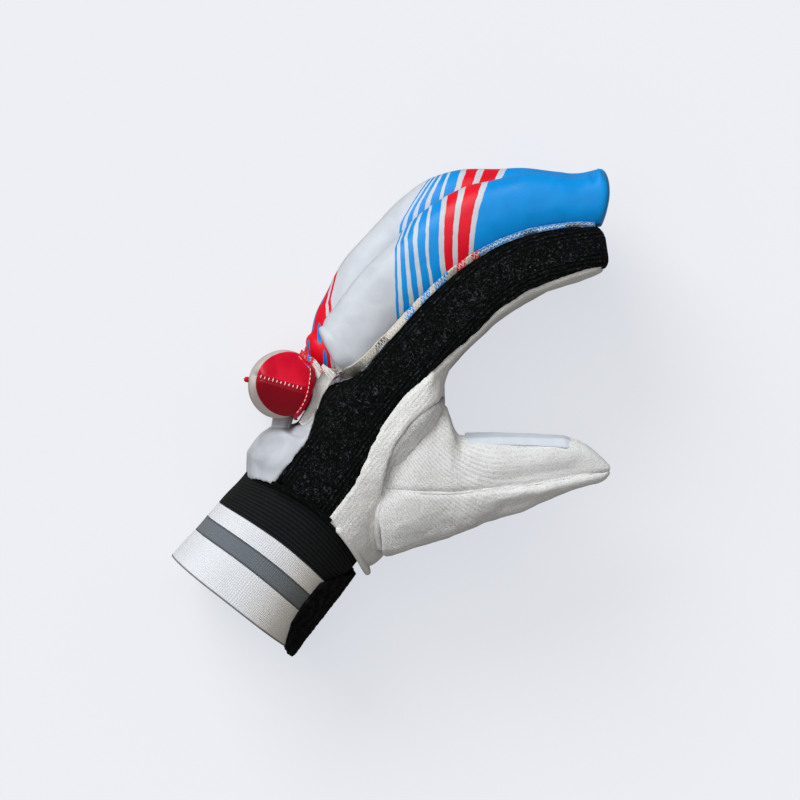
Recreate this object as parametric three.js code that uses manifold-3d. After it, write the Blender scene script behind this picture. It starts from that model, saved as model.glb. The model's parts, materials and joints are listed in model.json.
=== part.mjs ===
// A left-hand cricket batting glove lying on its little-finger side, empty and open.
// +Y runs up the forearm towards the fingers, +X is the palm side and +Z the thumb side.
// The cloth pieces are cut from one hollow hand form along the seams of the real glove.
import * as THREE from "three";
import { mergeVertices } from "three/addons/utils/BufferGeometryUtils.js";
import Module from "manifold-3d";

const wasm = await Module();
wasm.setup();

// Driving dimensions, in millimetres. Depth runs from the palm side to the back of the hand,
// and breadth from the little finger to the thumb.
const cuffLength = 50; // wristband, from its hem to the heel of the hand
const stripedLength = 34; // striped part of the wristband
const palmLength = 85; // heel of the hand to the knuckles
const fingerLength = 112; // knuckles to the tip of the index finger
const handDepth = 76; // at the heel of the hand
const fingerDepth = 30; // at the root of a finger
const fingerPitch = 25; // one finger to the next
const fingerSpacing = 0.8; // between two finger sleeves
const crotchLength = 26; // knuckles to where the fingers part
const heelArch = 9.8; // how far the heel's edge arches up between palm and back
const clothWall = 1.6;
const wristDepth = 68; // wristband
const wristBreadth = 86; // wristband
const bandWall = 2;
const bandTuck = 4; // how far the wristband goes into the hand
const closureWall = 2.6;
const closureLength = 48;
const closureOverhang = 3; // how far the closure stands past the wristband's hem
const closureBreadth = 66; // how far round the wrist the closure reaches
const slitWidth = 5; // where the wristband parts, under its closure
const rollHeight = 30; // padded roll on a finger
const rollOverhang = 2.5; // how far a roll stands past the fingertip
const barDiameter = 30; // padded bar across the back of the hand
const barToKnuckles = 38.7; // middle of the bar to the knuckles
const barLength = 98;
const barRound = 5; // rounding of the bar's ends
const thumbLength = 112; // from inside the heel of the hand to the tip
const thumbDepth = 50; // at the thumb's root
const thumbThickness = 42; // at the thumb's root
const thumbFloor = 49; // height from which the thumb is set into the palm
const patchWall = 1;
const patchFrom = 46; // root of the thumb to the patch
const patchLength = 50;
const patchDepth = 4.6;
const patchBreadth = 22;
const seamGap = 0.3; // between two pieces that are sewn or laid together
const rollGap = 0.6; // between a roll or the bar and the back of the hand
const flatten = 2; // how far soft forms are pressed flat where they rest
const tipRound = 8; // rounding of a fingertip

const handBreadth = 4 * fingerPitch;
const handLength = palmLength + fingerLength;
const crotch = palmLength + crotchLength;
const beyond = 3 * handBreadth; // past the edge of anything

// The way the hand points, in degrees from +X, at shares of the palm and of the finger.
const palmBends = [
  { share: 0.25, heading: 93 },
  { share: 0.75, heading: 89.5 },
];
const fingerBends = [
  { share: 0.15, heading: 87.5 },
  { share: 0.4, heading: 83 },
  { share: 0.59, heading: 69 },
  { share: 0.76, heading: 53 },
  { share: 0.92, heading: 46 },
];
const thumbHeading = 42.5;

// The hand without its fingers, at shares of the palm's length: palm, seams and back as shares
// of the hand's depth, top as a share of its breadth, and how square its section is.
const handRows = [
  { at: -0.06, palm: -0.5, low: -0.13, high: 0.23, back: 0.46, top: 0.87, power: 2.4 },
  { at: 0, palm: -0.51, low: -0.13, high: 0.235, back: 0.475, top: 0.88, power: 2.4 },
  { at: 0.09, palm: -0.55, low: -0.13, high: 0.24, back: 0.5, top: 0.9, power: 2.5 },
  { at: 0.2, palm: -0.53, low: -0.138, high: 0.237, back: 0.5, top: 0.93, power: 2.7 },
  { at: 0.29, palm: -0.5, low: -0.15, high: 0.225, back: 0.488, top: 0.95, power: 2.9 },
  { at: 0.36, palm: -0.47, low: -0.142, high: 0.228, back: 0.45, top: 0.965, power: 3.1 },
  { at: 0.42, palm: -0.45, low: -0.13, high: 0.24, back: 0.39, top: 0.975, power: 3.4 },
  { at: 0.48, palm: -0.43, low: -0.115, high: 0.265, back: 0.363, top: 0.98, power: 3.6 },
  { at: 0.56, palm: -0.41, low: -0.095, high: 0.305, back: 0.36, top: 0.987, power: 3.8 },
  { at: 0.64, palm: -0.39, low: -0.072, high: 0.32, back: 0.355, top: 0.993, power: 4 },
  { at: 0.73, palm: -0.37, low: -0.06, high: 0.3, back: 0.33, top: 0.993, power: 4 },
  { at: 0.82, palm: -0.36, low: -0.053, high: 0.235, back: 0.28, top: 0.993, power: 4 },
  { at: 0.91, palm: -0.34, low: -0.059, high: 0.205, back: 0.215, top: 0.993, power: 4 },
  { at: 1, palm: -0.29, low: -0.08, high: 0.21, back: 0.17, top: 0.993, power: 4 },
  { at: 1.1, palm: -0.2, low: -0.1, high: 0.21, back: 0.165, top: 0.993, power: 4 },
  { at: 1.31, palm: -0.12, low: -0.13, high: 0.2, back: 0.155, top: 0.993, power: 4 },
];

// A finger's sleeve and its roll, at shares of the finger's length: palm, seams and back as
// shares of its depth, and crown as a share of the roll's height.
const fingerRows = [
  { at: -0.22, palm: -0.1, low: -0.13, high: 0.54, back: 0.6, crown: 0.6 },
  { at: -0.13, palm: -0.25, low: -0.14, high: 0.55, back: 0.63, crown: 0.78 },
  { at: -0.05, palm: -0.34, low: -0.16, high: 0.55, back: 0.63, crown: 0.88 },
  { at: 0.06, palm: -0.39, low: -0.25, high: 0.55, back: 0.625, crown: 0.9 },
  { at: 0.2, palm: -0.41, low: -0.31, high: 0.535, back: 0.605, crown: 0.95 },
  { at: 0.33, palm: -0.42, low: -0.34, high: 0.515, back: 0.585, crown: 0.98 },
  { at: 0.46, palm: -0.44, low: -0.34, high: 0.47, back: 0.54, crown: 1.04 },
  { at: 0.6, palm: -0.46, low: -0.36, high: 0.43, back: 0.5, crown: 1.03 },
  { at: 0.68, palm: -0.475, low: -0.37, high: 0.4, back: 0.475, crown: 0.945 },
  { at: 0.77, palm: -0.46, low: -0.35, high: 0.39, back: 0.46, crown: 0.915 },
  { at: 0.86, palm: -0.43, low: -0.32, high: 0.36, back: 0.435, crown: 0.815 },
  { at: 0.93, palm: -0.38, low: -0.28, high: 0.31, back: 0.385, crown: 0.77 },
  { at: 1, palm: -0.34, low: -0.25, high: 0.26, back: 0.335, crown: 0.8 },
];

// The fingers from the ground up. Each stands longer past the index finger, as a share of its
// length, and is raised towards the back, in its middle and at its tip, as shares of its depth.
// Its roll reaches into the palm by a share of the finger's length, and leans over there by a
// share of its height, which is plump times that of the others.
const fingers = [
  { name: "little", longer: -0.17, raised: -0.04, tip: -0.06, reach: 0.25, lean: 0, plump: 1 },
  { name: "ring", longer: -0.02, raised: 0.13, tip: -0.02, reach: 0.25, lean: 0, plump: 1.05 },
  { name: "middle", longer: 0.015, raised: 0.22, tip: -0.02, reach: 0.255, lean: 0, plump: 1.12 },
  { name: "index", longer: 0, raised: 0, tip: 0, reach: 0.165, lean: 0.13, plump: 1 },
];
const tipLean = 0.13; // how far a roll leans over its fingertip, as a share of its height

// The thumb at shares of its length: its edges and its seam as shares of its depth, its middle
// as a share of the hand's breadth, and its thickness as a share of that at its root.
const thumbRows = [
  { at: 0, lower: -0.6, upper: 0.42, seam: 0.04, middle: 0.7, thick: 0.84 },
  { at: 0.06, lower: -0.64, upper: 0.48, seam: 0.015, middle: 0.71, thick: 0.94 },
  { at: 0.17, lower: -0.585, upper: 0.62, seam: -0.045, middle: 0.725, thick: 0.98 },
  { at: 0.3, lower: -0.51, upper: 0.78, seam: -0.085, middle: 0.735, thick: 0.88 },
  { at: 0.345, lower: -0.48, upper: 0.72, seam: -0.088, middle: 0.74, thick: 0.84 },
  { at: 0.375, lower: -0.46, upper: 0.47, seam: -0.09, middle: 0.74, thick: 0.8 },
  { at: 0.46, lower: -0.405, upper: 0.43, seam: -0.09, middle: 0.745, thick: 0.73 },
  { at: 0.62, lower: -0.312, upper: 0.39, seam: -0.08, middle: 0.745, thick: 0.6 },
  { at: 0.76, lower: -0.215, upper: 0.352, seam: -0.055, middle: 0.74, thick: 0.5 },
  { at: 0.86, lower: -0.15, upper: 0.312, seam: -0.035, middle: 0.735, thick: 0.4 },
  { at: 0.92, lower: -0.122, upper: 0.235, seam: -0.02, middle: 0.73, thick: 0.32 },
  { at: 0.965, lower: -0.09, upper: 0.136, seam: -0.01, middle: 0.73, thick: 0.23 },
  { at: 1, lower: -0.03, upper: 0.04, seam: 0, middle: 0.73, thick: 0.1 },
];

// Where the thumb is set into the palm, as shares of its depth and of its length.
const setInRows = [
  { across: -1.2, along: 0.04 },
  { across: -0.67, along: 0.04 },
  { across: -0.25, along: 0.033 },
  { across: 0, along: 0.055 },
  { across: 0.22, along: 0.084 },
  { across: 0.4, along: 0.123 },
  { across: 0.57, along: 0.187 },
  { across: 0.68, along: 0.253 },
  { across: 0.77, along: 0.32 },
  { across: 1.1, along: 0.5 },
];

// The wristband from its hem up, at shares of its length: its edges as shares of its depth and
// breadth, and how far its rings arch, as a share of its length.
const bandRows = [
  { at: -1, palm: -0.5, back: 0.55, foot: -0.024, top: 0.975, arch: 0.01 },
  { at: -0.65, palm: -0.495, back: 0.53, foot: -0.015, top: 0.98, arch: 0.05 },
  { at: -0.3, palm: -0.495, back: 0.515, foot: -0.005, top: 0.985, arch: 0.08 },
  { at: 0, palm: -0.495, back: 0.49, foot: 0.024, top: 0.985, arch: 0.17 },
  { at: 0.1, palm: -0.49, back: 0.485, foot: 0.026, top: 0.985, arch: 0.2 },
];

// The closure's free edge, from past the hem up, as shares of its length and the band's depth.
const closureRows = [
  { along: 0, across: -0.54 },
  { along: 0.04, across: -0.46 },
  { along: 0.12, across: -0.43 },
  { along: 0.28, across: -0.385 },
  { along: 0.47, across: -0.368 },
  { along: 0.73, across: -0.375 },
  { along: 1, across: -0.5 },
];

// A column of a table at any value of its first column, on a smooth curve through its rows.
function along(rows, column, x) {
  const key = Object.keys(rows[0])[0];
  const last = rows.length - 1;
  const at = Math.min(Math.max(x, rows[0][key]), rows[last][key]);
  let i = 0;
  while (i < last - 1 && at > rows[i + 1][key]) i++;
  const slope = (j) => {
    const low = rows[Math.max(j - 1, 0)];
    const high = rows[Math.min(j + 1, last)];
    return (high[column] - low[column]) / (high[key] - low[key]);
  };
  const step = rows[i + 1][key] - rows[i][key];
  const rise = rows[i + 1][column] - rows[i][column];
  const u = (at - rows[i][key]) / step;
  const early = slope(i) * step - rise;
  const late = rise - slope(i + 1) * step;
  return rows[i][column] + u * rise + u * (1 - u) * ((1 - u) * early + u * late);
}

const steps = (count) => Array.from({ length: count + 1 }, (_, i) => i / count);
const between = (low, high, count) => steps(count).map((u) => low + u * (high - low));

// The middle line of the hand's thumb side, walked in short steps up and down from the heel.
const bends = [
  { t: -cuffLength / 2, heading: 90 },
  ...palmBends.map((b) => ({ t: b.share * palmLength, heading: b.heading })),
  ...fingerBends.map((b) => ({ t: palmLength + b.share * fingerLength, heading: b.heading })),
];

function headingAt(t) {
  const last = bends.length - 1;
  const at = Math.min(Math.max(t, bends[0].t), bends[last].t);
  let i = 0;
  while (i < last - 1 && at > bends[i + 1].t) i++;
  const u = (at - bends[i].t) / (bends[i + 1].t - bends[i].t);
  return THREE.MathUtils.degToRad(bends[i].heading + u * (bends[i + 1].heading - bends[i].heading));
}

const stride = 0.5;
function walk(length, way) {
  const points = [new THREE.Vector2(0, 0)];
  for (let i = 0; i * stride < length; i++) {
    const heading = headingAt(way * (i + 0.5) * stride);
    const step = new THREE.Vector2(Math.cos(heading), Math.sin(heading)).multiplyScalar(way * stride);
    points.push(points[i].clone().add(step));
  }
  return points;
}
const upwards = walk(handLength + beyond, 1);
const downwards = walk(cuffLength + beyond, -1);

// The point t along the hand and n from its middle line towards the back.
function onHand(t, n, z = 0) {
  const line = t < 0 ? downwards : upwards;
  const place = Math.min(Math.abs(t) / stride, line.length - 1.001);
  const i = Math.floor(place);
  const p = line[i].clone().lerp(line[i + 1], place - i);
  const heading = headingAt(t);
  return new THREE.Vector3(p.x - n * Math.sin(heading), p.y + n * Math.cos(heading), z);
}

// The point t along the thumb and n from its middle line towards the fingers.
const thumbRoot = onHand(0.37 * palmLength, -0.24 * handDepth);
const thumbTurn = THREE.MathUtils.degToRad(thumbHeading);
function onThumb(t, n, z = 0) {
  const [c, s] = [Math.cos(thumbTurn), Math.sin(thumbTurn)];
  return new THREE.Vector3(thumbRoot.x + t * c - n * s, thumbRoot.y + t * s + n * c, z);
}

// A three.js geometry as a solid to cut and join, whichever way round its faces came.
function solid(geometry) {
  const bare = geometry.clone();
  bare.deleteAttribute("normal");
  bare.deleteAttribute("uv");
  const merged = mergeVertices(bare, 1e-4);
  const triVerts = new Uint32Array(merged.index.array);
  const vertProperties = merged.attributes.position.array;
  const make = () => new wasm.Manifold(new wasm.Mesh({ numProp: 3, vertProperties, triVerts }));
  const made = make();
  if (made.volume() > 0) return made;
  for (let i = 0; i < triVerts.length; i += 3) {
    [triVerts[i], triVerts[i + 1]] = [triVerts[i + 1], triVerts[i]];
  }
  return make();
}

const joined = (solids) => solids.reduce((a, b) => a.add(b));

// The parts of a cut, largest first, and its largest part.
const parts = (cut) => cut.decompose().sort((a, b) => b.volume() - a.volume());
const largest = (cut) => parts(cut)[0];

// The middle of a solid along one axis, 0 for X to 2 for Z.
function middle(piece, axis) {
  const box = piece.boundingBox();
  return (box.min[axis] + box.max[axis]) / 2;
}

// A flat outline drawn out from z0 up to z1.
function prism(outline, z0, z1) {
  const shape = new THREE.Shape(outline.map((p) => new THREE.Vector2(p.x, p.y)));
  const geometry = new THREE.ExtrudeGeometry(shape, { depth: z1 - z0, bevelEnabled: false });
  return solid(geometry.translate(0, 0, z0));
}

// A closed ring round a box: a rounded section, which may lean, and lie flat on a bed or floor.
function ring(place, t, box, count) {
  return between(0, 2 * Math.PI, count).slice(1).map((angle) => {
    const [c, s] = [Math.cos(angle), Math.sin(angle)];
    const n = Math.sign(c) * Math.abs(c) ** (2 / box.power);
    const z = Math.sign(s) * Math.abs(s) ** (2 / box.power);
    const across = box.n0 + ((box.n1 - box.n0) * (1 + n)) / 2;
    const height = box.z0 + ((box.z1 - box.z0) * (1 + z)) / 2;
    const lean = (box.arch ?? 0) * (1 - n * n) + (box.slant ?? 0) * n;
    return place(t + lean, Math.max(across, box.bed ?? -beyond), Math.max(height, box.floor ?? -beyond));
  });
}

// The same box drawn in by a wall, or out by a negative one.
const inset = (box, wall) => ({
  ...box,
  n0: box.n0 + wall,
  n1: box.n1 - wall,
  z0: box.z0 + wall,
  z1: box.z1 - wall,
  floor: wall,
});

// A box shrunk towards its middle.
function shrunk(box, share) {
  const [n, z] = [(box.n0 + box.n1) / 2, (box.z0 + box.z1) / 2];
  return {
    ...box,
    n0: n + (box.n0 - n) * share,
    n1: n + (box.n1 - n) * share,
    z0: z + (box.z0 - z) * share,
    z1: z + (box.z1 - z) * share,
  };
}

// A solid through rings of equal count, closed by a fan at each end.
function loft(rings) {
  const count = rings[0].length;
  const centre = (points) => points.reduce((a, p) => a.add(p), new THREE.Vector3()).divideScalar(count);
  const points = [...rings.flat(), centre(rings[0]), centre(rings[rings.length - 1])];
  const index = [];
  const [first, last] = [points.length - 2, points.length - 1];
  const end = (rings.length - 1) * count;
  for (let i = 0; i < count; i++) {
    const j = (i + 1) % count;
    for (let a = 0; a < end; a += count) {
      const b = a + count;
      index.push(a + i, a + j, b + i, a + j, b + j, b + i);
    }
    index.push(first, j, i, last, end + i, end + j);
  }
  const geometry = new THREE.BufferGeometry().setFromPoints(points);
  geometry.setIndex(index);
  return solid(geometry);
}

// Sizes of the hand at t, and of a finger at its own stretch of t.
const hand = (column, t) => handDepth * along(handRows, column, t / palmLength);
const fingerEnd = (i) => handLength + fingers[i].longer * fingerLength;
function finger(i, column, t) {
  const share = (t - palmLength) / (t > palmLength ? fingerEnd(i) - palmLength : fingerLength);
  return along(fingerRows, column, share);
}

// How far a finger is raised: not at all in the palm, and in full where the fingers part.
function raisedAt(i, t) {
  const rise = fingers[i].raised * THREE.MathUtils.smoothstep(t, 0.7 * palmLength, crotch);
  const fall = THREE.MathUtils.smoothstep(t, handLength - 0.5 * fingerLength, handLength - 0.22 * fingerLength);
  return fingerDepth * (rise + (fingers[i].tip - rise) * fall);
}

const fingerLine = (i, column, t) => fingerDepth * finger(i, column, t) + raisedAt(i, t);

// A side seam of finger i, which starts as the hand's and ends as the finger's own.
function seamLine(i, column, t) {
  const share = THREE.MathUtils.smoothstep(t, 0.8 * palmLength, palmLength);
  return (1 - share) * hand(column, t) + share * fingerLine(i, column, t);
}

// Heights of finger i over the ground, on which the lowest is pressed flat.
const topShare = 0.99;
const fingerHeights = (i, gap) => ({
  z0: i === 0 ? -flatten : i * fingerPitch + gap / 2,
  z1: i === fingers.length - 1 ? topShare * handBreadth : (i + 1) * fingerPitch - gap / 2,
});

// How the end of a form rounds off, from 1 to the share that its flat end keeps.
function rounding(fromEnd, length, kept) {
  const u = Math.min(Math.max(fromEnd / length, 0), 1);
  return kept + (1 - kept) * Math.sqrt(1 - (1 - u) ** 2);
}

// Where the sections of a finger's sleeve lie, up to the rounding of its tip.
const sleeveStations = (end) => between(palmLength - 0.2 * fingerLength, end - tipRound, 6);

function fingerSleeve(i, wall) {
  const end = fingerEnd(i) - wall;
  const rings = [...sleeveStations(end), end - 0.4 * tipRound, end].map((t) => {
    const box = {
      n0: fingerLine(i, "palm", t),
      n1: fingerLine(i, "back", t),
      ...fingerHeights(i, fingerSpacing),
      power: 3.6,
    };
    return ring(onHand, t, inset(shrunk(box, rounding(end - t, tipRound, 0.6)), wall), 12);
  });
  return loft(rings);
}

// The hand from its heel to where the fingers part.
function palmForm(wall) {
  const stations = between(-0.06 * palmLength, crotch - wall, 13);
  const rings = stations.map((t) => {
    const box = {
      n0: hand("palm", t),
      n1: hand("back", t),
      z0: -flatten,
      z1: handBreadth * along(handRows, "top", t / palmLength),
      power: along(handRows, "power", t / palmLength),
    };
    return ring(onHand, t, inset(box, wall), 18);
  });
  return loft(rings);
}

function thumbBox(share) {
  const centre = handBreadth * along(thumbRows, "middle", share);
  const half = (thumbThickness * along(thumbRows, "thick", share)) / 2;
  return {
    n0: thumbDepth * along(thumbRows, "lower", share),
    n1: thumbDepth * along(thumbRows, "upper", share),
    z0: centre - half,
    z1: centre + half,
    power: 2.3,
  };
}

function thumbForm(wall) {
  const end = 1 - (2 * wall) / thumbLength;
  const shares = [0, 0.1, 0.2, 0.3, 0.345, 0.39, 0.52, 0.66, 0.8, 0.91, 0.97, 1];
  const rings = shares.map((share) => {
    const at = share * end;
    const box = thumbBox(at);
    const most = Math.min(box.n1 - box.n0, box.z1 - box.z0) / 2.6;
    return ring(onThumb, at * thumbLength, inset(box, Math.min(wall, most)), 12);
  });
  return loft(rings);
}

// Everything below the heel of the hand, whose edge is arched.
function belowHeel() {
  const far = handDepth;
  const line = (n) => heelArch * (1 - ((2 * n) / handDepth) ** 2);
  const edge = between(-far, far, 16).map((n) => onHand(line(n), n));
  return prism([onHand(-cuffLength, -far), ...edge, onHand(-cuffLength, far)], -beyond, beyond);
}

// The whole hand as one hollow wall of cloth.
function hollowHand() {
  const form = (wall) =>
    joined([palmForm(wall), thumbForm(wall), ...fingers.map((_, i) => fingerSleeve(i, wall))]);
  return form(0).subtract(form(clothWall)).subtract(belowHeel());
}

// What lies between the two side seams of every finger, widened by a margin.
function sideZone(margin) {
  const last = fingers.length - 1;
  const zones = fingers.map((_, i) => {
    const inHand = between(-0.06 * palmLength, palmLength, 10);
    const stations = [...inHand, ...between(palmLength, fingerEnd(i) + tipRound, 7).slice(1)];
    const edge = (column, shift) => stations.map((t) => onHand(t, seamLine(i, column, t) + shift));
    const outline = [...edge("low", -margin), ...edge("high", margin).reverse()];
    const foot = i === 0 ? -beyond : i * fingerPitch - seamGap / 10;
    const top = i === last ? beyond : (i + 1) * fingerPitch;
    return prism(outline, foot, top);
  });
  return joined(zones);
}

// Thin slices through the middle of each fingertip, where one side wall meets the next.
function tipSlices() {
  const slices = fingers.map((_, i) => {
    const { z0, z1 } = fingerHeights(i, fingerSpacing);
    const slice = new THREE.BoxGeometry(beyond, 2 * beyond, seamGap);
    return solid(slice.translate(0, 0, (Math.max(z0, 0) + z1) / 2));
  });
  return joined(slices);
}

// What lies beyond the seam that sets the thumb into the palm, widened by a margin.
function thumbZone(margin) {
  const edge = setInRows.map((row) => onThumb(row.along * thumbLength - margin, row.across * thumbDepth));
  const far = 1.5 * thumbLength;
  const outline = [...edge, onThumb(far, 1.1 * thumbDepth), onThumb(far, -1.2 * thumbDepth)];
  return prism(outline, thumbFloor - margin, beyond);
}

// What lies on the finger side of the thumb's own seam, moved by a margin.
function thumbUpperZone(margin) {
  const seam = between(0, 1, 6).map((share) =>
    onThumb(share * thumbLength, thumbDepth * along(thumbRows, "seam", share) + margin),
  );
  const far = 2 * thumbLength;
  const [before, after] = [along(thumbRows, "seam", 0), along(thumbRows, "seam", 1)];
  const outline = [
    onThumb(-far, thumbDepth * before + margin),
    ...seam,
    onThumb(far, thumbDepth * after + margin),
    onThumb(far, far),
    onThumb(-far, far),
  ];
  return prism(outline, -beyond, beyond);
}

// The pieces of the hand, cut from the hollow wall.
function handPieces() {
  const wall = hollowHand();
  const half = seamGap / 2;
  const withoutThumb = wall.subtract(thumbZone(half));
  const [palm, back] = parts(withoutThumb.subtract(sideZone(half)))
    .slice(0, 2)
    .sort((a, b) => middle(b, 0) - middle(a, 0));
  const [littleSide, littleRing, ringMiddle, middleIndex, indexSide] = parts(
    withoutThumb.intersect(sideZone(-half)).subtract(tipSlices()),
  )
    .slice(0, fingers.length + 1)
    .sort((a, b) => middle(a, 2) - middle(b, 2));
  const thumb = wall.intersect(thumbZone(-half));
  return {
    palm_panel: { made: palm, look: "knit" },
    back_panel: { made: back, look: "leather" },
    little_side_gusset: { made: littleSide, look: "mesh" },
    fourchette_little_ring: { made: littleRing, look: "mesh" },
    fourchette_ring_middle: { made: ringMiddle, look: "mesh" },
    fourchette_middle_index: { made: middleIndex, look: "mesh" },
    index_side_gusset: { made: indexSide, look: "mesh" },
    thumb_upper: { made: largest(thumb.intersect(thumbUpperZone(half))), look: "knit" },
    thumb_lower: { made: largest(thumb.subtract(thumbUpperZone(-half))), look: "knit" },
  };
}

// The smooth patch that lies on the thumb's finger side.
function thumbPatch() {
  const [from, to] = [patchFrom / thumbLength, (patchFrom + patchLength) / thumbLength];
  const upper = (share) => thumbDepth * along(thumbRows, "upper", share);
  const stations = between(from, to, 5);
  const inner = stations.map((share) => onThumb(share * thumbLength, upper(share) - patchDepth));
  const outer = stations.map((share) => onThumb(share * thumbLength, upper(share) + thumbDepth));
  const centre = handBreadth * along(thumbRows, "middle", (from + to) / 2);
  const zone = prism([...inner, ...outer.reverse()], centre - patchBreadth / 2, centre + patchBreadth / 2);
  const skin = thumbForm(-seamGap - patchWall).subtract(thumbForm(-seamGap));
  return largest(skin.intersect(zone));
}

// The back of finger i's sleeve, straight from one of its sections to the next.
function sleeveBack(i, t) {
  const stations = sleeveStations(fingerEnd(i));
  const next = stations.findIndex((station) => station > t);
  if (next < 1) return fingerLine(i, "back", t);
  const [from, to] = [stations[next - 1], stations[next]];
  const [low, high] = [fingerLine(i, "back", from), fingerLine(i, "back", to)];
  return low + ((high - low) * (t - from)) / (to - from);
}

// A roll of padding along the back of finger i, flat where it lies on the sleeve.
function fingerRoll(i) {
  const start = palmLength - fingers[i].reach * fingerLength;
  const end = fingerEnd(i) + rollOverhang;
  const [first, last] = [start + tipRound, end - tipRound];
  const near = [start, start + 0.3 * tipRound];
  const clear = (t) => t > first + 0.5 * tipRound && t < last - 0.5 * tipRound;
  const onSleeve = sleeveStations(fingerEnd(i)).filter(clear);
  const stations = [...near, first, ...onSleeve, last, end - 0.4 * tipRound, end];
  const rings = stations.map((t) => {
    const early = fingers[i].lean * (1 - THREE.MathUtils.smoothstep(t, start, palmLength));
    const late = tipLean * THREE.MathUtils.smoothstep(t, end - 2 * tipRound, end);
    const lean = rollHeight * (early + late);
    const under = (at) => Math.max(hand("back", at), sleeveBack(i, at));
    const bed = Math.max(under(t), under(t - lean)) + rollGap;
    const crown = finger(i, "crown", Math.max(t, first - 0.6 * tipRound));
    const rise = fingers[i].plump * rollHeight * crown;
    const round = rounding(Math.min(t - start, end - t), tipRound, 0.55);
    const { z0, z1 } = fingerHeights(i, seamGap);
    const centre = (z0 + z1) / 2;
    const box = {
      n0: bed - 0.22 * rise,
      n1: bed + rise * round,
      z0: centre + (z0 - centre) * round,
      z1: centre + (z1 - centre) * round,
      slant: lean,
      power: 2.7,
      floor: 0,
      bed,
    };
    return ring(onHand, t, box, 12);
  });
  return largest(loft(rings).subtract(barSpace()));
}

// Where the bar of padding lies on the back of the hand.
const barRadius = barDiameter / 2;
const barFromHeel = palmLength - barToKnuckles;
const barSeat = onHand(barFromHeel, hand("back", barFromHeel) + rollGap + barRadius);

// The room that the bar takes among the rolls.
function barSpace() {
  const space = new THREE.CylinderGeometry(barRadius + rollGap, barRadius + rollGap, 2 * beyond, 18);
  return solid(space.rotateX(Math.PI / 2).translate(barSeat.x, barSeat.y, 0));
}

// The bar of padding across the back of the hand.
function knuckleBar() {
  const radius = barRadius;
  const corner = (from, turn) =>
    between(0, Math.PI / 2, 2).map((angle) => {
      const r = radius - barRound + barRound * (turn > 0 ? Math.sin(angle) : Math.cos(angle));
      const y = from + turn * barRound * (1 - (turn > 0 ? Math.cos(angle) : Math.sin(angle)));
      return new THREE.Vector2(r, y);
    });
  const profile = [
    new THREE.Vector2(0, 0),
    ...corner(0, 1),
    ...corner(barLength, -1),
    new THREE.Vector2(0, barLength),
  ];
  const bar = new THREE.LatheGeometry(profile, 18).rotateX(Math.PI / 2);
  return solid(bar.translate(barSeat.x, barSeat.y, seamGap));
}

function bandBox(t) {
  const share = t / cuffLength;
  return {
    n0: wristDepth * along(bandRows, "palm", share),
    n1: wristDepth * along(bandRows, "back", share),
    z0: wristBreadth * along(bandRows, "foot", share),
    z1: wristBreadth * along(bandRows, "top", share),
    arch: cuffLength * along(bandRows, "arch", share),
    power: 2.4,
  };
}

// A solid as wide as the wristband drawn in by a wall, from t0 to t1.
const bandForm = (t0, t1, wall, count) =>
  loft(between(t0, t1, count).map((t) => ring(onHand, t, inset(bandBox(t), wall), 20)));

// The slit that lets the wristband open, on the palm side.
function bandSlit() {
  const centre = wristBreadth / 2;
  const [from, to] = [-1.5 * cuffLength, 0.5 * cuffLength];
  const corners = [
    onHand(from, -wristDepth),
    onHand(to, -wristDepth),
    onHand(to, -0.3 * wristDepth),
    onHand(from, -0.3 * wristDepth),
  ];
  return prism(corners, centre - slitWidth / 2, centre + slitWidth / 2);
}

function bandPiece(t0, t1, count) {
  const outer = bandForm(t0, t1, 0, count);
  const inner = bandForm(t0 - bandWall, t1 + bandWall, bandWall, count);
  return largest(outer.subtract(inner).subtract(bandSlit()));
}

// The tab that closes the wristband, laid round its palm side.
function strapClosure() {
  const from = -cuffLength - closureOverhang;
  const edge = closureRows.map((row) => onHand(from + row.along * closureLength, row.across * wristDepth));
  const outline = [...edge, onHand(from + closureLength, -wristDepth), onHand(from, -wristDepth)];
  const centre = wristBreadth / 2;
  const zone = prism(outline, centre - closureBreadth / 2, centre + closureBreadth / 2);
  const form = (wall, past) => bandForm(from - past, from + closureLength + past, wall, 4);
  const skin = form(-seamGap - closureWall, 0).subtract(form(-seamGap, closureWall));
  return largest(skin.intersect(zone));
}

const stripesEnd = stripedLength - cuffLength;
const pieces = {
  ...handPieces(),
  thumb_patch: { made: thumbPatch(), look: "patch" },
  knuckle_bar: { made: knuckleBar(), look: "bar" },
  wrist_elastic: { made: bandPiece(stripesEnd + seamGap / 2, bandTuck, 2), look: "elastic" },
  wrist_strap: { made: bandPiece(-cuffLength, stripesEnd - seamGap / 2, 3), look: "striped" },
  strap_closure: { made: strapClosure(), look: "fastener" },
};
fingers.forEach(({ name }, i) => {
  pieces["finger_roll_" + name] = { made: fingerRoll(i), look: "roll" };
});

const looks = {
  leather: { color: 0xdfe3e8, roughness: 0.45 },
  knit: { color: 0xd9d7d0, roughness: 0.95 },
  mesh: { color: 0x101112, roughness: 0.9 },
  patch: { color: 0xd2d3d0, roughness: 0.6 },
  elastic: { color: 0x151617, roughness: 0.85 },
  striped: { color: 0xdadde2, roughness: 0.8 },
  fastener: { color: 0x0b0c0c, roughness: 1 },
  roll: { color: 0x0a86dd, roughness: 0.35 },
  bar: { color: 0xc8102e, roughness: 0.35 },
};

// A solid as a named mesh in its own material.
function meshOf(name, { made, look }) {
  const { vertProperties, triVerts } = made.getMesh();
  const geometry = new THREE.BufferGeometry();
  geometry.setAttribute("position", new THREE.BufferAttribute(vertProperties, 3));
  geometry.setIndex(new THREE.BufferAttribute(triVerts, 1));
  geometry.computeVertexNormals();
  const mesh = new THREE.Mesh(geometry, new THREE.MeshStandardMaterial({ metalness: 0, ...looks[look] }));
  mesh.name = name;
  return mesh;
}

const glove = new THREE.Group();
for (const [name, piece] of Object.entries(pieces)) glove.add(meshOf(name, piece));

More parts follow.
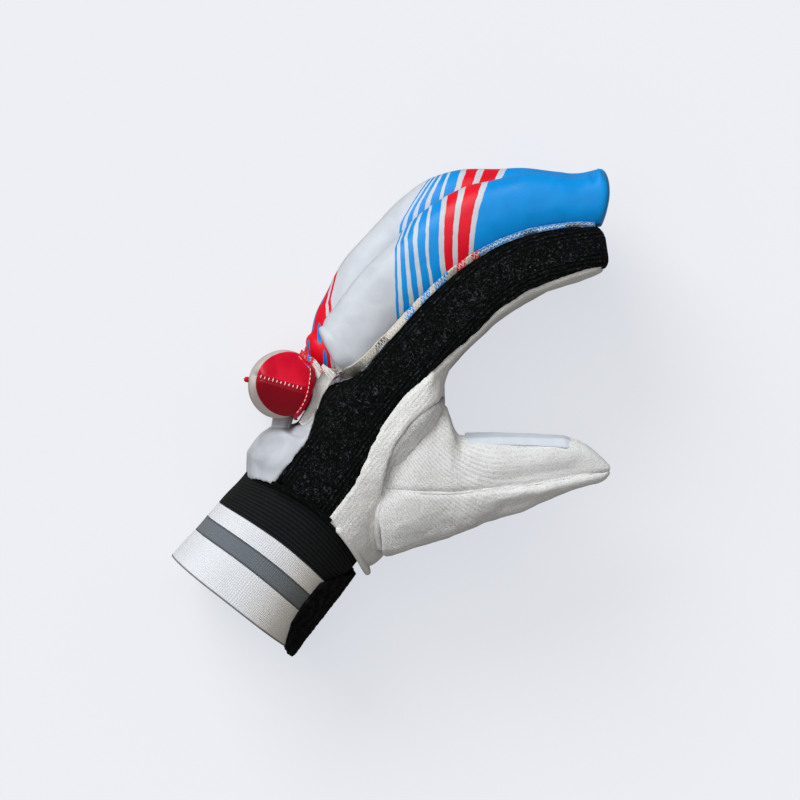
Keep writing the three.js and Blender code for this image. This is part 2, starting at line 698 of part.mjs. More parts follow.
// The origin goes to the middle of the glove's box, at the height of the ground.
const box = new THREE.Box3().setFromObject(glove);
const centre = box.getCenter(new THREE.Vector3());
glove.position.set(-centre.x, -centre.y, -box.min.z);

export default glove;
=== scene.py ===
# %% [markdown]
# # A cricket batting glove
# A batting glove is sewn from many small panels: a knitted palm, a soft coated back, black net
# between them, and stuffed rolls that stand on the fingers to take the blow of the ball.
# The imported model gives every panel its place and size. This lesson dresses those panels: it
# smooths their walls, stuffs the rolls, and gives each cloth its own weave, print and thread.

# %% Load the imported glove
import json
import math

import bmesh
import bpy
import numpy as np
from mathutils import Matrix, Vector, noise
from mathutils.bvhtree import BVHTree

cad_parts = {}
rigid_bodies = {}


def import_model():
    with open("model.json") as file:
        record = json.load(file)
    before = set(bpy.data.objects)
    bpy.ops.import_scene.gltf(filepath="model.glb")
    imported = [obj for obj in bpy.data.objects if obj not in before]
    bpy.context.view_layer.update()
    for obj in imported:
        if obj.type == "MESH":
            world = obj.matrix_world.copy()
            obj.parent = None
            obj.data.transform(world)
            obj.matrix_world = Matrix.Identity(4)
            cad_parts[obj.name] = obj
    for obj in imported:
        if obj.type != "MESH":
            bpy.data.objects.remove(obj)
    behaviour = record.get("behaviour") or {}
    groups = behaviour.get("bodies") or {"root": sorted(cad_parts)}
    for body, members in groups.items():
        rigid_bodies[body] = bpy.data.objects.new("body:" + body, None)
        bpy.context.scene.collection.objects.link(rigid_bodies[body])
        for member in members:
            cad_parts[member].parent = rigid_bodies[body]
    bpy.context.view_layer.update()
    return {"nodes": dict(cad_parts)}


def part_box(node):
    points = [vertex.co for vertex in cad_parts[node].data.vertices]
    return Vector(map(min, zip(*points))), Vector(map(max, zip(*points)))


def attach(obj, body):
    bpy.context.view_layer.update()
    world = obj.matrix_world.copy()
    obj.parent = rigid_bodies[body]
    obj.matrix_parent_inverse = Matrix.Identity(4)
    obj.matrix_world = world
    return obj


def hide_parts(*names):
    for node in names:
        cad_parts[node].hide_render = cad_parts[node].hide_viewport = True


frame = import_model()
scene = bpy.context.scene
print("pieces in the packed glove:", len(frame["nodes"]))

# %% [markdown]
# ## The line of the hand
# Nothing in a glove is straight: the fingers curl. A pattern maker measures along the curve, so
# this script does too. `t` runs along the hand from its heel, `n` from the middle of the hand
# towards its back, and `z` up from the ground. One function turns them into a place.

# %% Measure along the curled hand
PALM, FINGER, DEPTH, BREADTH, PITCH = 85, 112, 76, 100, 25
HEADINGS = ((-25, 90), (21.25, 93), (63.75, 89.5), (101.8, 87.5))
HEADINGS += ((129.8, 83), (151.1, 69), (170.1, 53), (188, 46))
BAR_AT, BAR_OUT, BAR_RADIUS, BAR_CLEAR, BAR_HEIGHT, CAP_FOOT = 46.3, 42.9, 15, 15.8, 98.6, 86.4


def heading(t):
    knots = np.array(HEADINGS, float)
    return np.radians(np.interp(t, knots[:, 0], knots[:, 1]))


LINE_T = np.arange(-150, 331, 0.5)


def walked_line():
    turns = heading(LINE_T + 0.25)
    steps = np.stack([np.cos(turns), np.sin(turns)], 1) * 0.5
    line = np.vstack([[0, 0], np.cumsum(steps, 0)[:-1]])
    return line - line[np.searchsorted(LINE_T, 0)]


line = walked_line()
bar_low, bar_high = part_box("knuckle_bar")
bar_centre = (bar_low + bar_high) * 500
bar_middle = np.array([bar_centre.x, bar_centre.y])


def on_line(t):
    return np.stack([np.interp(t, LINE_T, line[:, 0]), np.interp(t, LINE_T, line[:, 1])], -1)


def off_line(t, n):
    turn = heading(t)
    out = np.stack([-np.sin(turn), np.cos(turn)], -1)
    return on_line(t) + out * np.asarray(n, float)[..., None]


heel = bar_middle - off_line(np.array(BAR_AT), np.array(BAR_OUT))


def on_hand(t, n, z):
    t, n, z = np.broadcast_arrays(*(np.asarray(value, float) for value in (t, n, z)))
    flat = off_line(t, n) + heel
    return np.concatenate([flat, z[..., None]], -1) / 1000


def hand_place(points):
    """The t and n of points in metres."""
    flat = points[:, :2] * 1000 - heel
    nearest = np.empty(len(flat), int)
    for first in range(0, len(flat), 20000):
        part = flat[first : first + 20000]
        apart = ((part[:, None] - line[None, ::2]) ** 2).sum(-1)
        nearest[first : first + 20000] = apart.argmin(1) * 2
    turn = heading(LINE_T[nearest])
    away = flat - line[nearest]
    t = LINE_T[nearest] + away[:, 0] * np.cos(turn) + away[:, 1] * np.sin(turn)
    return t, away[:, 1] * np.cos(turn) - away[:, 0] * np.sin(turn)


print("heel of the hand, mm:", np.round(heel, 2))

# %% [markdown]
# ## Smooth forms under the cloth
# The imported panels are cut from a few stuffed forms: the hand, four fingers and a thumb. There
# they have few faces. The same measurements, taken through a smooth curve, give a fine form that
# the panels can be laid against. Sections are superellipses: a power of 2 is an ellipse, and a
# higher one is squarer.

# %% The measurements of the forms
HAND = {
    "at": (-0.06, 0, 0.09, 0.2, 0.29, 0.36, 0.42, 0.48, 0.56, 0.64, 0.73, 0.82, 0.91, 1, 1.1, 1.31),
    "palm": (-0.5, -0.51, -0.55, -0.53, -0.5, -0.47, -0.45, -0.43, -0.41, -0.39, -0.37, -0.36, -0.34,
             -0.29, -0.2, -0.12),
    "low": (-0.13, -0.13, -0.13, -0.138, -0.15, -0.142, -0.13, -0.115, -0.095, -0.072, -0.06, -0.053,
            -0.059, -0.08, -0.1, -0.13),
    "high": (0.23, 0.235, 0.24, 0.237, 0.225, 0.228, 0.24, 0.265, 0.305, 0.32, 0.3, 0.235, 0.205,
             0.21, 0.21, 0.2),
    "back": (0.46, 0.475, 0.5, 0.5, 0.488, 0.45, 0.39, 0.363, 0.36, 0.355, 0.33, 0.28, 0.215, 0.17,
             0.165, 0.155),
    "top": (0.87, 0.88, 0.9, 0.93, 0.95, 0.965, 0.975, 0.98, 0.987, 0.993, 0.993, 0.993, 0.993,
            0.993, 0.993, 0.993),
    "power": (2.4, 2.4, 2.5, 2.7, 2.9, 3.1, 3.4, 3.6, 3.8, 4, 4, 4, 4, 4, 4, 4),
}
SLEEVE = {
    "at": (-0.22, -0.13, -0.05, 0.06, 0.2, 0.33, 0.46, 0.6, 0.68, 0.77, 0.86, 0.93, 1),
    "palm": (-0.1, -0.25, -0.34, -0.39, -0.41, -0.42, -0.44, -0.46, -0.475, -0.46, -0.43, -0.38, -0.34),
    "low": (-0.13, -0.14, -0.16, -0.25, -0.31, -0.34, -0.34, -0.36, -0.37, -0.35, -0.32, -0.28, -0.25),
    "high": (0.54, 0.55, 0.55, 0.55, 0.535, 0.515, 0.47, 0.43, 0.4, 0.39, 0.36, 0.31, 0.26),
    "back": (0.6, 0.63, 0.63, 0.625, 0.605, 0.585, 0.54, 0.5, 0.475, 0.46, 0.435, 0.385, 0.335),
    "crown": (0.6, 0.78, 0.88, 0.9, 0.95, 0.98, 1.04, 1.03, 0.945, 0.915, 0.815, 0.77, 0.8),
}
THUMB = {
    "at": (0, 0.06, 0.17, 0.3, 0.345, 0.375, 0.46, 0.62, 0.76, 0.86, 0.92, 0.965, 1),
    "lower": (-0.6, -0.64, -0.585, -0.51, -0.48, -0.46, -0.405, -0.312, -0.215, -0.15, -0.122, -0.09,
              -0.03),
    "upper": (0.42, 0.48, 0.62, 0.78, 0.72, 0.47, 0.43, 0.39, 0.352, 0.312, 0.235, 0.136, 0.04),
    "seam": (0.04, 0.015, -0.045, -0.085, -0.088, -0.09, -0.09, -0.08, -0.055, -0.035, -0.02, -0.01, 0),
    "middle": (0.7, 0.71, 0.725, 0.735, 0.74, 0.74, 0.745, 0.745, 0.74, 0.735, 0.73, 0.73, 0.73),
    "thick": (0.84, 0.94, 0.98, 0.88, 0.84, 0.8, 0.73, 0.6, 0.5, 0.4, 0.32, 0.23, 0.1),
}
BAND = {
    "at": (-1, -0.65, -0.3, 0, 0.1),
    "palm": (-0.5, -0.495, -0.495, -0.495, -0.49),
    "back": (0.55, 0.53, 0.515, 0.49, 0.485),
    "foot": (-0.024, -0.015, -0.005, 0.024, 0.026),
    "top": (0.975, 0.98, 0.985, 0.985, 0.985),
    "arch": (0.01, 0.05, 0.08, 0.17, 0.2),
}
FINGERS = {
    "name": ("little", "ring", "middle", "index"),
    "longer": (-0.17, -0.02, 0.015, 0),
    "raised": (-0.04, 0.13, 0.22, 0),
    "tip": (-0.06, -0.02, -0.02, 0),
    "reach": (0.25, 0.25, 0.21, 0.165),
    "lean": (0, 0, 0, 3.9),
    "plump": (1, 1.05, 1.12, 1),
}


def through(rows, column, x):
    """A column of a table at any x, on a smooth curve through its rows."""
    at = np.array(rows["at"], float)
    values = np.array(rows[column], float)
    x = np.clip(np.asarray(x, float), at[0], at[-1])
    slopes = np.gradient(values, at)
    slopes[1:-1] = (values[2:] - values[:-2]) / (at[2:] - at[:-2])
    i = np.clip(np.searchsorted(at, x, side="right") - 1, 0, len(at) - 2)
    step, rise = at[i + 1] - at[i], values[i + 1] - values[i]
    u = (x - at[i]) / step
    early, late = slopes[i] * step - rise, rise - slopes[i + 1] * step
    return values[i] + u * rise + u * (1 - u) * ((1 - u) * early + u * late)


def outward(t):
    """The way from the palm towards the back of the hand, at places along it."""
    turn = heading(t)
    return np.stack([-np.sin(turn), np.cos(turn), 0 * turn], 1)


def ease(x, low, high):
    u = np.clip((np.asarray(x, float) - low) / (high - low), 0, 1)
    return u * u * (3 - 2 * u)


def finger_end(i):
    return PALM + FINGER * (1 + FINGERS["longer"][i])


def raised_at(i, t):
    """How far a finger stands towards the back: not in the palm, most where the fingers part."""
    rise = FINGERS["raised"][i] * ease(t, 0.7 * PALM, PALM + 26)
    fall = ease(t, PALM + 0.5 * FINGER, PALM + 0.78 * FINGER)
    return 30 * (rise + (FINGERS["tip"][i] - rise) * fall)


def finger_line(i, column, t):
    """A line of a finger's sleeve, in mm from the middle of the hand."""
    t = np.asarray(t, float)
    share = (t - PALM) / np.where(t > PALM, finger_end(i) - PALM, FINGER)
    return 30 * through(SLEEVE, column, share) + raised_at(i, t)


def hand_line(column, t):
    return DEPTH * through(HAND, column, np.asarray(t, float) / PALM)


def seam_line(i, column, t):
    share = ease(t, 0.8 * PALM, PALM)
    return (1 - share) * hand_line(column, t) + share * finger_line(i, column, t)


def heights(i, gap):
    foot = -2 if i == 0 else i * PITCH + gap / 2
    top = 99 if i == 3 else (i + 1) * PITCH - gap / 2
    return foot, top


def rounded(from_end, length, kept):
    u = np.clip(np.asarray(from_end, float) / length, 0, 1)
    return kept + (1 - kept) * np.sqrt(1 - (1 - u) ** 2)


print("the index finger ends at", finger_end(3), "mm from the heel")

# %% [markdown]
# Every form, roll and band below starts as one flat grid of quads, as a tailor starts from flat
# cloth. `wrapped` makes the grid, moves each point to where a function says, and closes the seam
# where the two sides meet. The grid's own UV map stays on it, so a print knows its place.

# %% One grid of cloth, wrapped
def wrapped(across, along, place, ends=True):
    """A bmesh grid laid through place(u, v), with its seam closed and its ends filled."""
    bm = bmesh.new()
    bm.loops.layers.uv.new("cloth")
    bmesh.ops.create_grid(bm, x_segments=across, y_segments=along, size=0.5, calc_uvs=True)
    flat = np.array([v.co[:2] for v in bm.verts]) + 0.5
    for vert, spot in zip(bm.verts, place(flat[:, 0], flat[:, 1])):
        vert.co = spot
    bmesh.ops.remove_doubles(bm, verts=bm.verts, dist=2e-6)
    if ends:
        open_edges = [e for e in bm.edges if e.is_boundary]
        bmesh.ops.holes_fill(bm, edges=open_edges, sides=0)
        bmesh.ops.recalc_face_normals(bm, faces=bm.faces)
    return bm


def around(u, power):
    """A superellipse from its foot, round its crown and back, as shares of its half sizes."""
    angle = (u - 0.5) * 2 * np.pi
    c, s = np.cos(angle), np.sin(angle)
    n = np.sign(c) * np.abs(c) ** (2 / power)
    return n, np.sign(s) * np.abs(s) ** (2 / power)


def hand_form(u, v):
    """The hand from its heel to past the knuckles."""
    t = -5 + v * (PALM + 26 + 5)
    n, z = around(u, through(HAND, "power", t / PALM))
    n0, n1 = hand_line("palm", t), hand_line("back", t)
    z1 = BREADTH * through(HAND, "top", t / PALM)
    return on_hand(t, (n0 + n1) / 2 + n * (n1 - n0) / 2, np.maximum((z1 - 2) / 2 + z * (z1 + 2) / 2, 0))


def finger_form(i):
    def place(u, v):
        start, end = PALM - 0.2 * FINGER, finger_end(i)
        t = start + v * (end - start)
        n, z = around(u, 3.6)
        round_off = rounded(end - t, 8, 0.6)
        n0, n1 = finger_line(i, "palm", t), finger_line(i, "back", t)
        z0, z1 = heights(i, 0.8)
        n = (n0 + n1) / 2 + n * (n1 - n0) / 2 * round_off
        z = (z0 + z1) / 2 + z * (z1 - z0) / 2 * round_off
        return on_hand(t, n, np.maximum(z, 0))

    return place


THUMB_TURN = math.radians(42.5)
thumb_root = off_line(np.array(31.45), np.array(-18.24)) + heel


def on_thumb(along, across, z):
    c, s = math.cos(THUMB_TURN), math.sin(THUMB_TURN)
    x = thumb_root[0] + along * c - across * s
    y = thumb_root[1] + along * s + across * c
    return np.stack(np.broadcast_arrays(x, y, z), -1) / 1000


def thumb_place(points):
    c, s = math.cos(THUMB_TURN), math.sin(THUMB_TURN)
    x, y = points[:, 0] * 1000 - thumb_root[0], points[:, 1] * 1000 - thumb_root[1]
    return x * c + y * s, y * c - x * s


def thumb_form(u, v):
    """The thumb, 112 mm from its root to its tip."""
    n, z = around(u, 2.3)
    low, high = 50 * through(THUMB, "lower", v), 50 * through(THUMB, "upper", v)
    centre = BREADTH * through(THUMB, "middle", v)
    half = 21 * through(THUMB, "thick", v)
    return on_thumb(v * 112, (low + high) / 2 + n * (high - low) / 2, centre + z * half)


def tree_of(place, across=120, along=120):
    """A search tree for a smooth form."""
    bm = wrapped(across, along, place)
    made = BVHTree.FromBMesh(bm)
    bm.free()
    return made


forms = {"hand": tree_of(hand_form), "thumb": tree_of(thumb_form)}
for i, name in enumerate(FINGERS["name"]):
    forms[name] = tree_of(finger_form(i), 96, 90)
print("smooth forms:", ", ".join(forms))

# %% [markdown]
# ## Cloth walls
# A packed panel is a wall of cloth with the right seams but flat facets. Three steps make it
# cloth: a copy is remeshed to a fine even grid, each point moves to its own depth under the
# smooth form, and then creases and small ripples are pressed in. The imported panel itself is
# never touched: the dressed copy stands for it.

# %% Lay a packed panel against the smooth forms
def finely(node, voxel):
    """A copy of a packed panel, merged and remeshed, as a new object."""
    copy = frame["nodes"][node].data.copy()
    bm = bmesh.new()
    bm.from_mesh(copy)
    bmesh.ops.remove_doubles(bm, verts=bm.verts, dist=1e-6)
    bm.to_mesh(copy)
    bm.free()
    piece = bpy.data.objects.new(node + "_cloth", copy)
    scene.collection.objects.link(piece)
    piece.modifiers.new("even", "REMESH").voxel_size = voxel / 1000
    mesh = bpy.data.meshes.new_from_object(piece.evaluated_get(bpy.context.evaluated_depsgraph_get()))
    piece.modifiers.clear()
    piece.data = mesh
    return piece


def points_of(mesh):
    flat = np.empty(len(mesh.vertices) * 3)
    mesh.vertices.foreach_get("co", flat)
    return flat.reshape(-1, 3)


def normals_of(mesh):
    flat = np.empty(len(mesh.vertices) * 3)
    mesh.vertex_normals.foreach_get("vector", flat)
    return flat.reshape(-1, 3)


def put_points(mesh, points):
    mesh.vertices.foreach_set("co", points.ravel())
    mesh.update()


def settled(piece, points, floor=0):
    """Puts points back on a piece, none of them below a floor in metres."""
    points[:, 2] = np.maximum(points[:, 2], floor)
    put_points(piece.data, points)


def put_uv(mesh, name, across, along):
    """Writes a UV map from two values at each point."""
    corners = np.empty(len(mesh.loops), int)
    mesh.loops.foreach_get("vertex_index", corners)
    layer = mesh.uv_layers.get(name) or mesh.uv_layers.new(name=name)
    layer.data.foreach_set("uv", np.stack([across[corners], along[corners]], 1).ravel())


def evened(mesh, values, times):
    """Values averaged with those of the neighbouring points, so that nothing jumps."""
    pairs = np.empty(len(mesh.edges) * 2, int)
    mesh.edges.foreach_get("vertices", pairs)
    a, b = pairs.reshape(-1, 2).T
    count = np.bincount(a, minlength=len(values)) + np.bincount(b, minlength=len(values))
    for _ in range(times):
        total = np.empty_like(values)
        for k, column in enumerate(values.T):
            total[:, k] = np.bincount(a, column[b], len(column)) + np.bincount(b, column[a], len(column))
        values = 0.5 * values + 0.5 * total / count[:, None]
    return values


WALL = 1.6


def closed_up(mesh, points, out, push=0.8):
    """The rims of a wall smoothed, and pushed sideways until they meet the next panel's."""
    put_points(mesh, points)
    normals = normals_of(mesh)
    facing = (normals * out).sum(1)[:, None]
    rim = np.clip(2 * evened(mesh, np.clip(1.4 - 1.6 * np.abs(facing), 0, 1), 3), 0, 1)
    points = points + rim * (evened(mesh, points, 14) - points)
    return points + (normals - facing * out) * rim * push / 1000


def laid_smooth(piece, names):
    """Moves each point of a wall to its own depth under the nearest of the smooth forms."""
    mesh = piece.data
    points, normals = points_of(mesh), normals_of(mesh)
    shift = np.zeros_like(points)
    out = normals.copy()
    for k, (point, normal) in enumerate(zip(points, normals)):
        best = 1e9
        for name in names:
            spot, face_out, _, away = forms[name].find_nearest(Vector(point), 0.006)
            if spot is None:
                continue
            facing = normal[0] * face_out[0] + normal[1] * face_out[1] + normal[2] * face_out[2]
            score = away * 1000 + 2 * (1 - abs(facing))
            if score < best:
                best = score
                depth = WALL * 0.5 * (1 - facing) / 1000
                shift[k] = spot - face_out * depth - Vector(point)
                out[k] = face_out
    shift = evened(mesh, shift, 12)
    out = evened(mesh, out, 6)
    put_points(mesh, closed_up(mesh, evened(mesh, points + shift, 2), out))
    return out


print("a wall of cloth is", WALL, "mm thick")

# %% [markdown]
# Real cloth keeps marks: a crease where it was folded, a pucker where a stitch pulls. A crease is
# a path over the form with a width and a depth. Everything near it moves in, or out where the
# depth is negative. Noise at two sizes gives the rest its small unevenness.

# %% Creases and ripples
def dropped(places, trees, height=0.15):
    """Places over the table, in metres, dropped onto the highest of some forms."""
    found = []
    for x, y in places:
        hits = [tree.ray_cast(Vector((x, y, height)), Vector((0, 0, -1)))[0] for tree in trees]
        found.append(max((hit for hit in hits if hit), key=lambda hit: hit.z, default=Vector((x, y, 0))))
    return np.array(found)


def over_hand(places):
    """Places in t and n as x and y in metres."""
    places = np.array(places, float)
    return on_hand(places[:, 0], places[:, 1], 0)[:, :2]


def creased(points, out, path, width, depth):
    """Points moved in beside a path in metres. The width and depth are in mm."""
    near, run = np.full(len(points), 1e9), np.zeros(len(points))
    for k, (a, b) in enumerate(zip(path[:-1], path[1:])):
        share = np.clip(((points - a) @ (b - a)) / ((b - a) @ (b - a)), 0, 1)
        away = np.linalg.norm(points - a - share[:, None] * (b - a), axis=1) * 1000
        closer = away < near
        near[closer] = away[closer]
        run[closer] = (k + share[closer]) / (len(path) - 1)
    fall = np.exp(-((near / width) ** 2)) * np.sin(np.pi * np.clip(run, 0.03, 0.97)) ** 0.5
    return points - out * (fall * depth / 1000)[:, None]


def rippled(points, out, size, depth, stretch=(1, 1, 1), seed=0):
    """Points moved in and out by smooth noise of one size, in mm."""
    scaled = points * 1000 / size * np.array(stretch) + seed * 7.3
    move = np.array([noise.noise(Vector(spot)) for spot in scaled])
    return points + out * (move * depth / 1000)[:, None]


def dressed(node, names, voxel, marks=(), ripple=0.5, size=14):
    """A packed panel as creased cloth. Its UV map holds each point's t and n, in mm."""
    piece = finely(node, voxel)
    out = laid_smooth(piece, names)
    points = points_of(piece.data)
    for mark in marks:
        points = creased(points, out, *mark)
    points = rippled(points, out, size, ripple)
    settled(piece, rippled(points, out, size * 0.4, ripple * 0.4, seed=3))
    put_uv(piece.data, "cloth", *hand_place(points_of(piece.data)))
    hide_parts(node)
    print(node, len(piece.data.polygons), "faces")
    return piece


# %% [markdown]
# ## Finishes
# A finish is named for the cloth and how it was made. One function turns a colour of the screen
# into the linear numbers that light works with. One more adds a node with its settings and links,
# and short ones after it add the nodes that nearly every finish needs.

# %% Colours and nodes
def linear(code):
    """An sRGB hex colour as linear light."""
    parts = [int(code[k : k + 2], 16) / 255 for k in (1, 3, 5)]
    light = [p / 12.92 if p <= 0.04045 else ((p + 0.055) / 1.055) ** 2.4 for p in parts]
    return (*light, 1)


def add(tree, kind, inputs=None, **settings):
    """Adds a shader node. Inputs hold values or the outputs of other nodes."""
    node = tree.nodes.new("ShaderNode" + kind)
    for key, value in settings.items():
        setattr(node, key, value)
    for key, value in (inputs or {}).items():
        if isinstance(value, bpy.types.NodeSocket):
            tree.links.new(value, node.inputs[key])
        else:
            node.inputs[key].default_value = value
    return node


def place_of(tree):
    return add(tree, "TexCoord").outputs["Object"]


def cloth_of(tree):
    return add(tree, "UVMap", uv_map="cloth").outputs[0]


def parts_of(tree, vector):
    return add(tree, "SeparateXYZ", {"Vector": vector}).outputs


def maths(tree, operation, *values):
    return add(tree, "Math", dict(enumerate(values)), operation=operation).outputs[0]


def remap(tree, value, low, high, low_to=0, high_to=1):
    """A value taken from one range to another, and kept inside it."""
    ranges = {"Value": value, "From Min": low, "From Max": high, "To Min": low_to, "To Max": high_to}
    return add(tree, "MapRange", ranges).outputs[0]


def mixed(tree, share, a, b, blend="MIX"):
    """Two colours mixed by a share. Each is a hex colour, linear numbers or another node's colour."""
    a, b = (linear(colour) if isinstance(colour, str) else colour for colour in (a, b))
    return add(tree, "Mix", {0: share, 6: a, 7: b}, data_type="RGBA", blend_type=blend).outputs[2]


def grainy(tree, place, scale, detail=2, roughness=0.5, distortion=0):
    inputs = {"Vector": place, "Scale": scale, "Detail": detail, "Roughness": roughness}
    return add(tree, "TexNoise", {**inputs, "Distortion": distortion}).outputs["Fac"]


def waves(tree, where, period, direction, distortion, detail=2, detail_scale=1):
    """Ribs that repeat once in a period, across one direction of a map."""
    inputs = {"Vector": where, "Scale": math.pi / 10 / period, "Distortion": distortion, "Detail": detail}
    inputs["Detail Scale"] = detail_scale
    return add(tree, "TexWave", inputs, bands_direction=direction).outputs["Fac"]


def stepped(tree, value, first, last, stops):
    """Hard steps of colour. Each stop is a value and the colour from there on."""
    node = add(tree, "ValToRGB", {"Fac": remap(tree, value, first, last)})
    ramp = node.color_ramp
    ramp.interpolation = "CONSTANT"
    ramp.elements.remove(ramp.elements[1])
    for k, (at, colour) in enumerate(stops):
        share = (at - first) / (last - first)
        step = ramp.elements[0] if k == 0 else ramp.elements.new(share)
        step.position = share
        step.color = linear(colour)
    return node.outputs[0]


def relief(tree, shader, height, strength, depth):
    """A bumped surface, its depth in mm."""
    bump = add(tree, "Bump", {"Height": height, "Strength": strength, "Distance": depth / 1000})
    tree.links.new(bump.outputs[0], shader.inputs["Normal"])


def painted(tree, shader, colour):
    tree.links.new(colour, shader.inputs["Base Color"])


def finish_of(name, specular=0.5, **sockets):
    """A new finish and its shader."""
    material = bpy.data.materials.new(name)
    material.use_nodes = True
    shader = material.node_tree.nodes["Principled BSDF"]
    shader.inputs["Specular IOR Level"].default_value = specular
    for key, value in sockets.items():
        shader.inputs[key.replace("_", " ")].default_value = value
    return material, material.node_tree, shader


# %% [markdown]
# ### Coated cloth
# The rolls, the bar and the back are cotton backed vinyl: a thin smooth plastic skin, printed, on
# soft cloth. The skin gives a broad soft gloss, and its grain is under half a millimetre, so it is
# drawn a little coarser here to show at all.

# %% Coated cloth, white and red
# The third red is painted shade: the cap's half below its seam is drawn darker, as if it faced away from the
# light.
RED_LIGHT, RED_DARK, RED_PAINTED_SHADE = "#d6042b", "#b3021f", "#8e0319"
BAR_WALL, BAR_WALL_DARK, CAP_REACH = "#c6beb7", "#bcaea8", 14.8


def coat_finish(name, gloss, strength=0.12):
    """A coated skin with its fine grain and broad soft folds, but no colour yet."""
    material, tree, shader = finish_of(name, 0.16, IOR=1.5, Coat_Weight=0.06, Coat_Roughness=gloss)
    place = place_of(tree)
    fine = grainy(tree, place, 1000 / 0.9, 3)
    broad = grainy(tree, place, 90, 4, distortion=0.6)
    grain = add(tree, "Bump", {"Height": fine, "Strength": strength, "Distance": 0.0002}).outputs[0]
    folds = add(tree, "Bump", {"Height": broad, "Strength": 0.25, "Distance": 0.0012, "Normal": grain})
    tree.links.new(folds.outputs[0], shader.inputs["Normal"])
    tree.links.new(remap(tree, broad, 0.3, 0.7, 0.3, 0.46), shader.inputs["Roughness"])
    return material, tree, shader, place, broad


def plain_coat(name, light, dark, gloss=0.4):
    material, tree, shader, _, broad = coat_finish(name, gloss)
    painted(tree, shader, mixed(tree, remap(tree, broad, 0.3, 0.6), dark, light))
    return material


def capped_finish(name):
    """A red cap, darkened below its seam as painted shade, and a pale wall where the UV map says that a point
    is out of its reach.
    """
    material, tree, shader, place, broad = coat_finish(name, 0.3)
    spot = parts_of(tree, cloth_of(tree))
    upper = mixed(tree, remap(tree, broad, 0.3, 0.6), RED_DARK, RED_LIGHT)
    # Below the seam the cap's red is mixed to a darker red, as painted shade.
    cap = mixed(tree, remap(tree, spot["Y"], -0.6, 0.6), upper, RED_PAINTED_SHADE)
    wall = mixed(tree, remap(tree, grainy(tree, place, 45), 0.4, 0.62), BAR_WALL_DARK, BAR_WALL)
    beyond = remap(tree, spot["X"], CAP_REACH - 0.15, CAP_REACH + 0.15)
    painted(tree, shader, mixed(tree, beyond, cap, wall))
    return material


white_coat = plain_coat("white coated cloth", "#c6c9ce", "#b5b8bc")
red_coat = plain_coat("red coated cloth", RED_LIGHT, RED_DARK, 0.3)
capped_coat = capped_finish("red and white coated cloth")

# %% [markdown]
# ### The print on the rolls
# Stripes are printed across each roll: five blue, two red, and a blue tip. The roll's UV map
# holds how far along the print a point lies, in millimetres, and a ramp with hard steps colours
# it. Near the knuckles the rolls behind carry a small motif of red and blue flecks.

# %% Printed coated cloth
BLUE, RED, WHITE, PALE = "#0090dd", "#e60d26", "#cdd1d5", "#cfc9bb"
PRINT = (
    (0, WHITE), (109.6, BLUE), (111.6, WHITE), (113.8, BLUE), (116.8, WHITE), (118.9, BLUE),
    (122.5, WHITE), (124.5, BLUE), (128.7, WHITE), (130.1, BLUE), (134.6, WHITE), (137.1, RED),
    (141.4, WHITE), (143.7, RED), (148.5, WHITE), (150.8, BLUE),
)
CUT_EDGE = (
    (0, PALE), (112, BLUE), (117, PALE), (121, BLUE), (126, PALE), (129, BLUE), (136, PALE),
    (141, RED), (146, PALE), (148.5, RED), (153, "#2f86c8"),
)
TAB = ((0, RED), (44, "#2a7fd0"), (47, RED), (51, "#e8e6e2"), (55, RED), (58, "#e8e6e2"))
PRINT_END, FLECKS_END, RULE_AT, RULE_HALF = 200, 63.5, 66.3, 0.9


def printed_coat(name, flecked):
    material, tree, shader, place, broad = coat_finish(name, 0.3, 0.08)
    where = cloth_of(tree)
    wander = remap(tree, grainy(tree, place, 260), 0, 1, -0.35, 0.35)
    along = maths(tree, "ADD", parts_of(tree, where)["X"], wander)
    colour = stepped(tree, along, 0, PRINT_END, PRINT)
    if flecked:
        leaf = add(tree, "Mapping", {"Vector": where, "Rotation": (0, 0, 0.5), "Scale": (0.22, 0.13, 1)})
        cells = add(tree, "TexVoronoi", {"Vector": leaf.outputs[0], "Scale": 1.0, "Randomness": 0.45})
        inside = maths(tree, "LESS_THAN", cells.outputs["Distance"], 0.34)
        flecks = mixed(tree, inside, RED, "#1d7fd0")
        near = mixed(tree, maths(tree, "LESS_THAN", along, FLECKS_END), colour, flecks)
        colour = mixed(tree, maths(tree, "COMPARE", along, RULE_AT, RULE_HALF), near, RED)
    worn = mixed(tree, remap(tree, broad, 0.25, 0.6), (0.86, 0.86, 0.88, 1), (1, 1, 1, 1))
    painted(tree, shader, mixed(tree, 1.0, colour, worn, "MULTIPLY"))
    return material


def cut_coat(name, stops):
    """The cut edge of printed cloth, coloured along its length, with pale cotton showing through."""
    material, tree, shader = finish_of(name, Roughness=0.75, IOR=1.45)
    place = place_of(tree)
    along = maths(tree, "MULTIPLY_ADD", grainy(tree, place, 500, 3), 5.0, parts_of(tree, cloth_of(tree))["X"])
    lint = grainy(tree, place, 900, 4, 0.7)
    colour = stepped(tree, along, 0, PRINT_END, stops)
    painted(tree, shader, mixed(tree, remap(tree, lint, 0.5, 0.64), colour, "#cfc8ba"))
    relief(tree, shader, lint, 0.8, 0.6)
    return material


striped_coat = printed_coat("printed coated cloth", False)
flecked_coat = printed_coat("printed coated cloth with flecks", True)
edge_coat = cut_coat("cut edge of printed cloth", CUT_EDGE)
tab_coat = cut_coat("printed tab cloth", TAB)

# %% [markdown]
# ### White cotton knit
# The palm and thumb are a plain cotton knit. Its columns of loops, the wales, run along the hand
# about 2 mm apart, and the shadow between the loops shows as fine dark specks, drawn at 0.6 mm so
# that they show at all. The knit lies flat in one place and stands upright in another, so wales
# are counted by `n` where the cloth faces up and by height where it stands, and the two are mixed
# by the way the surface faces. Beyond `smooth_from` the thumb's knit turns smooth and paler.

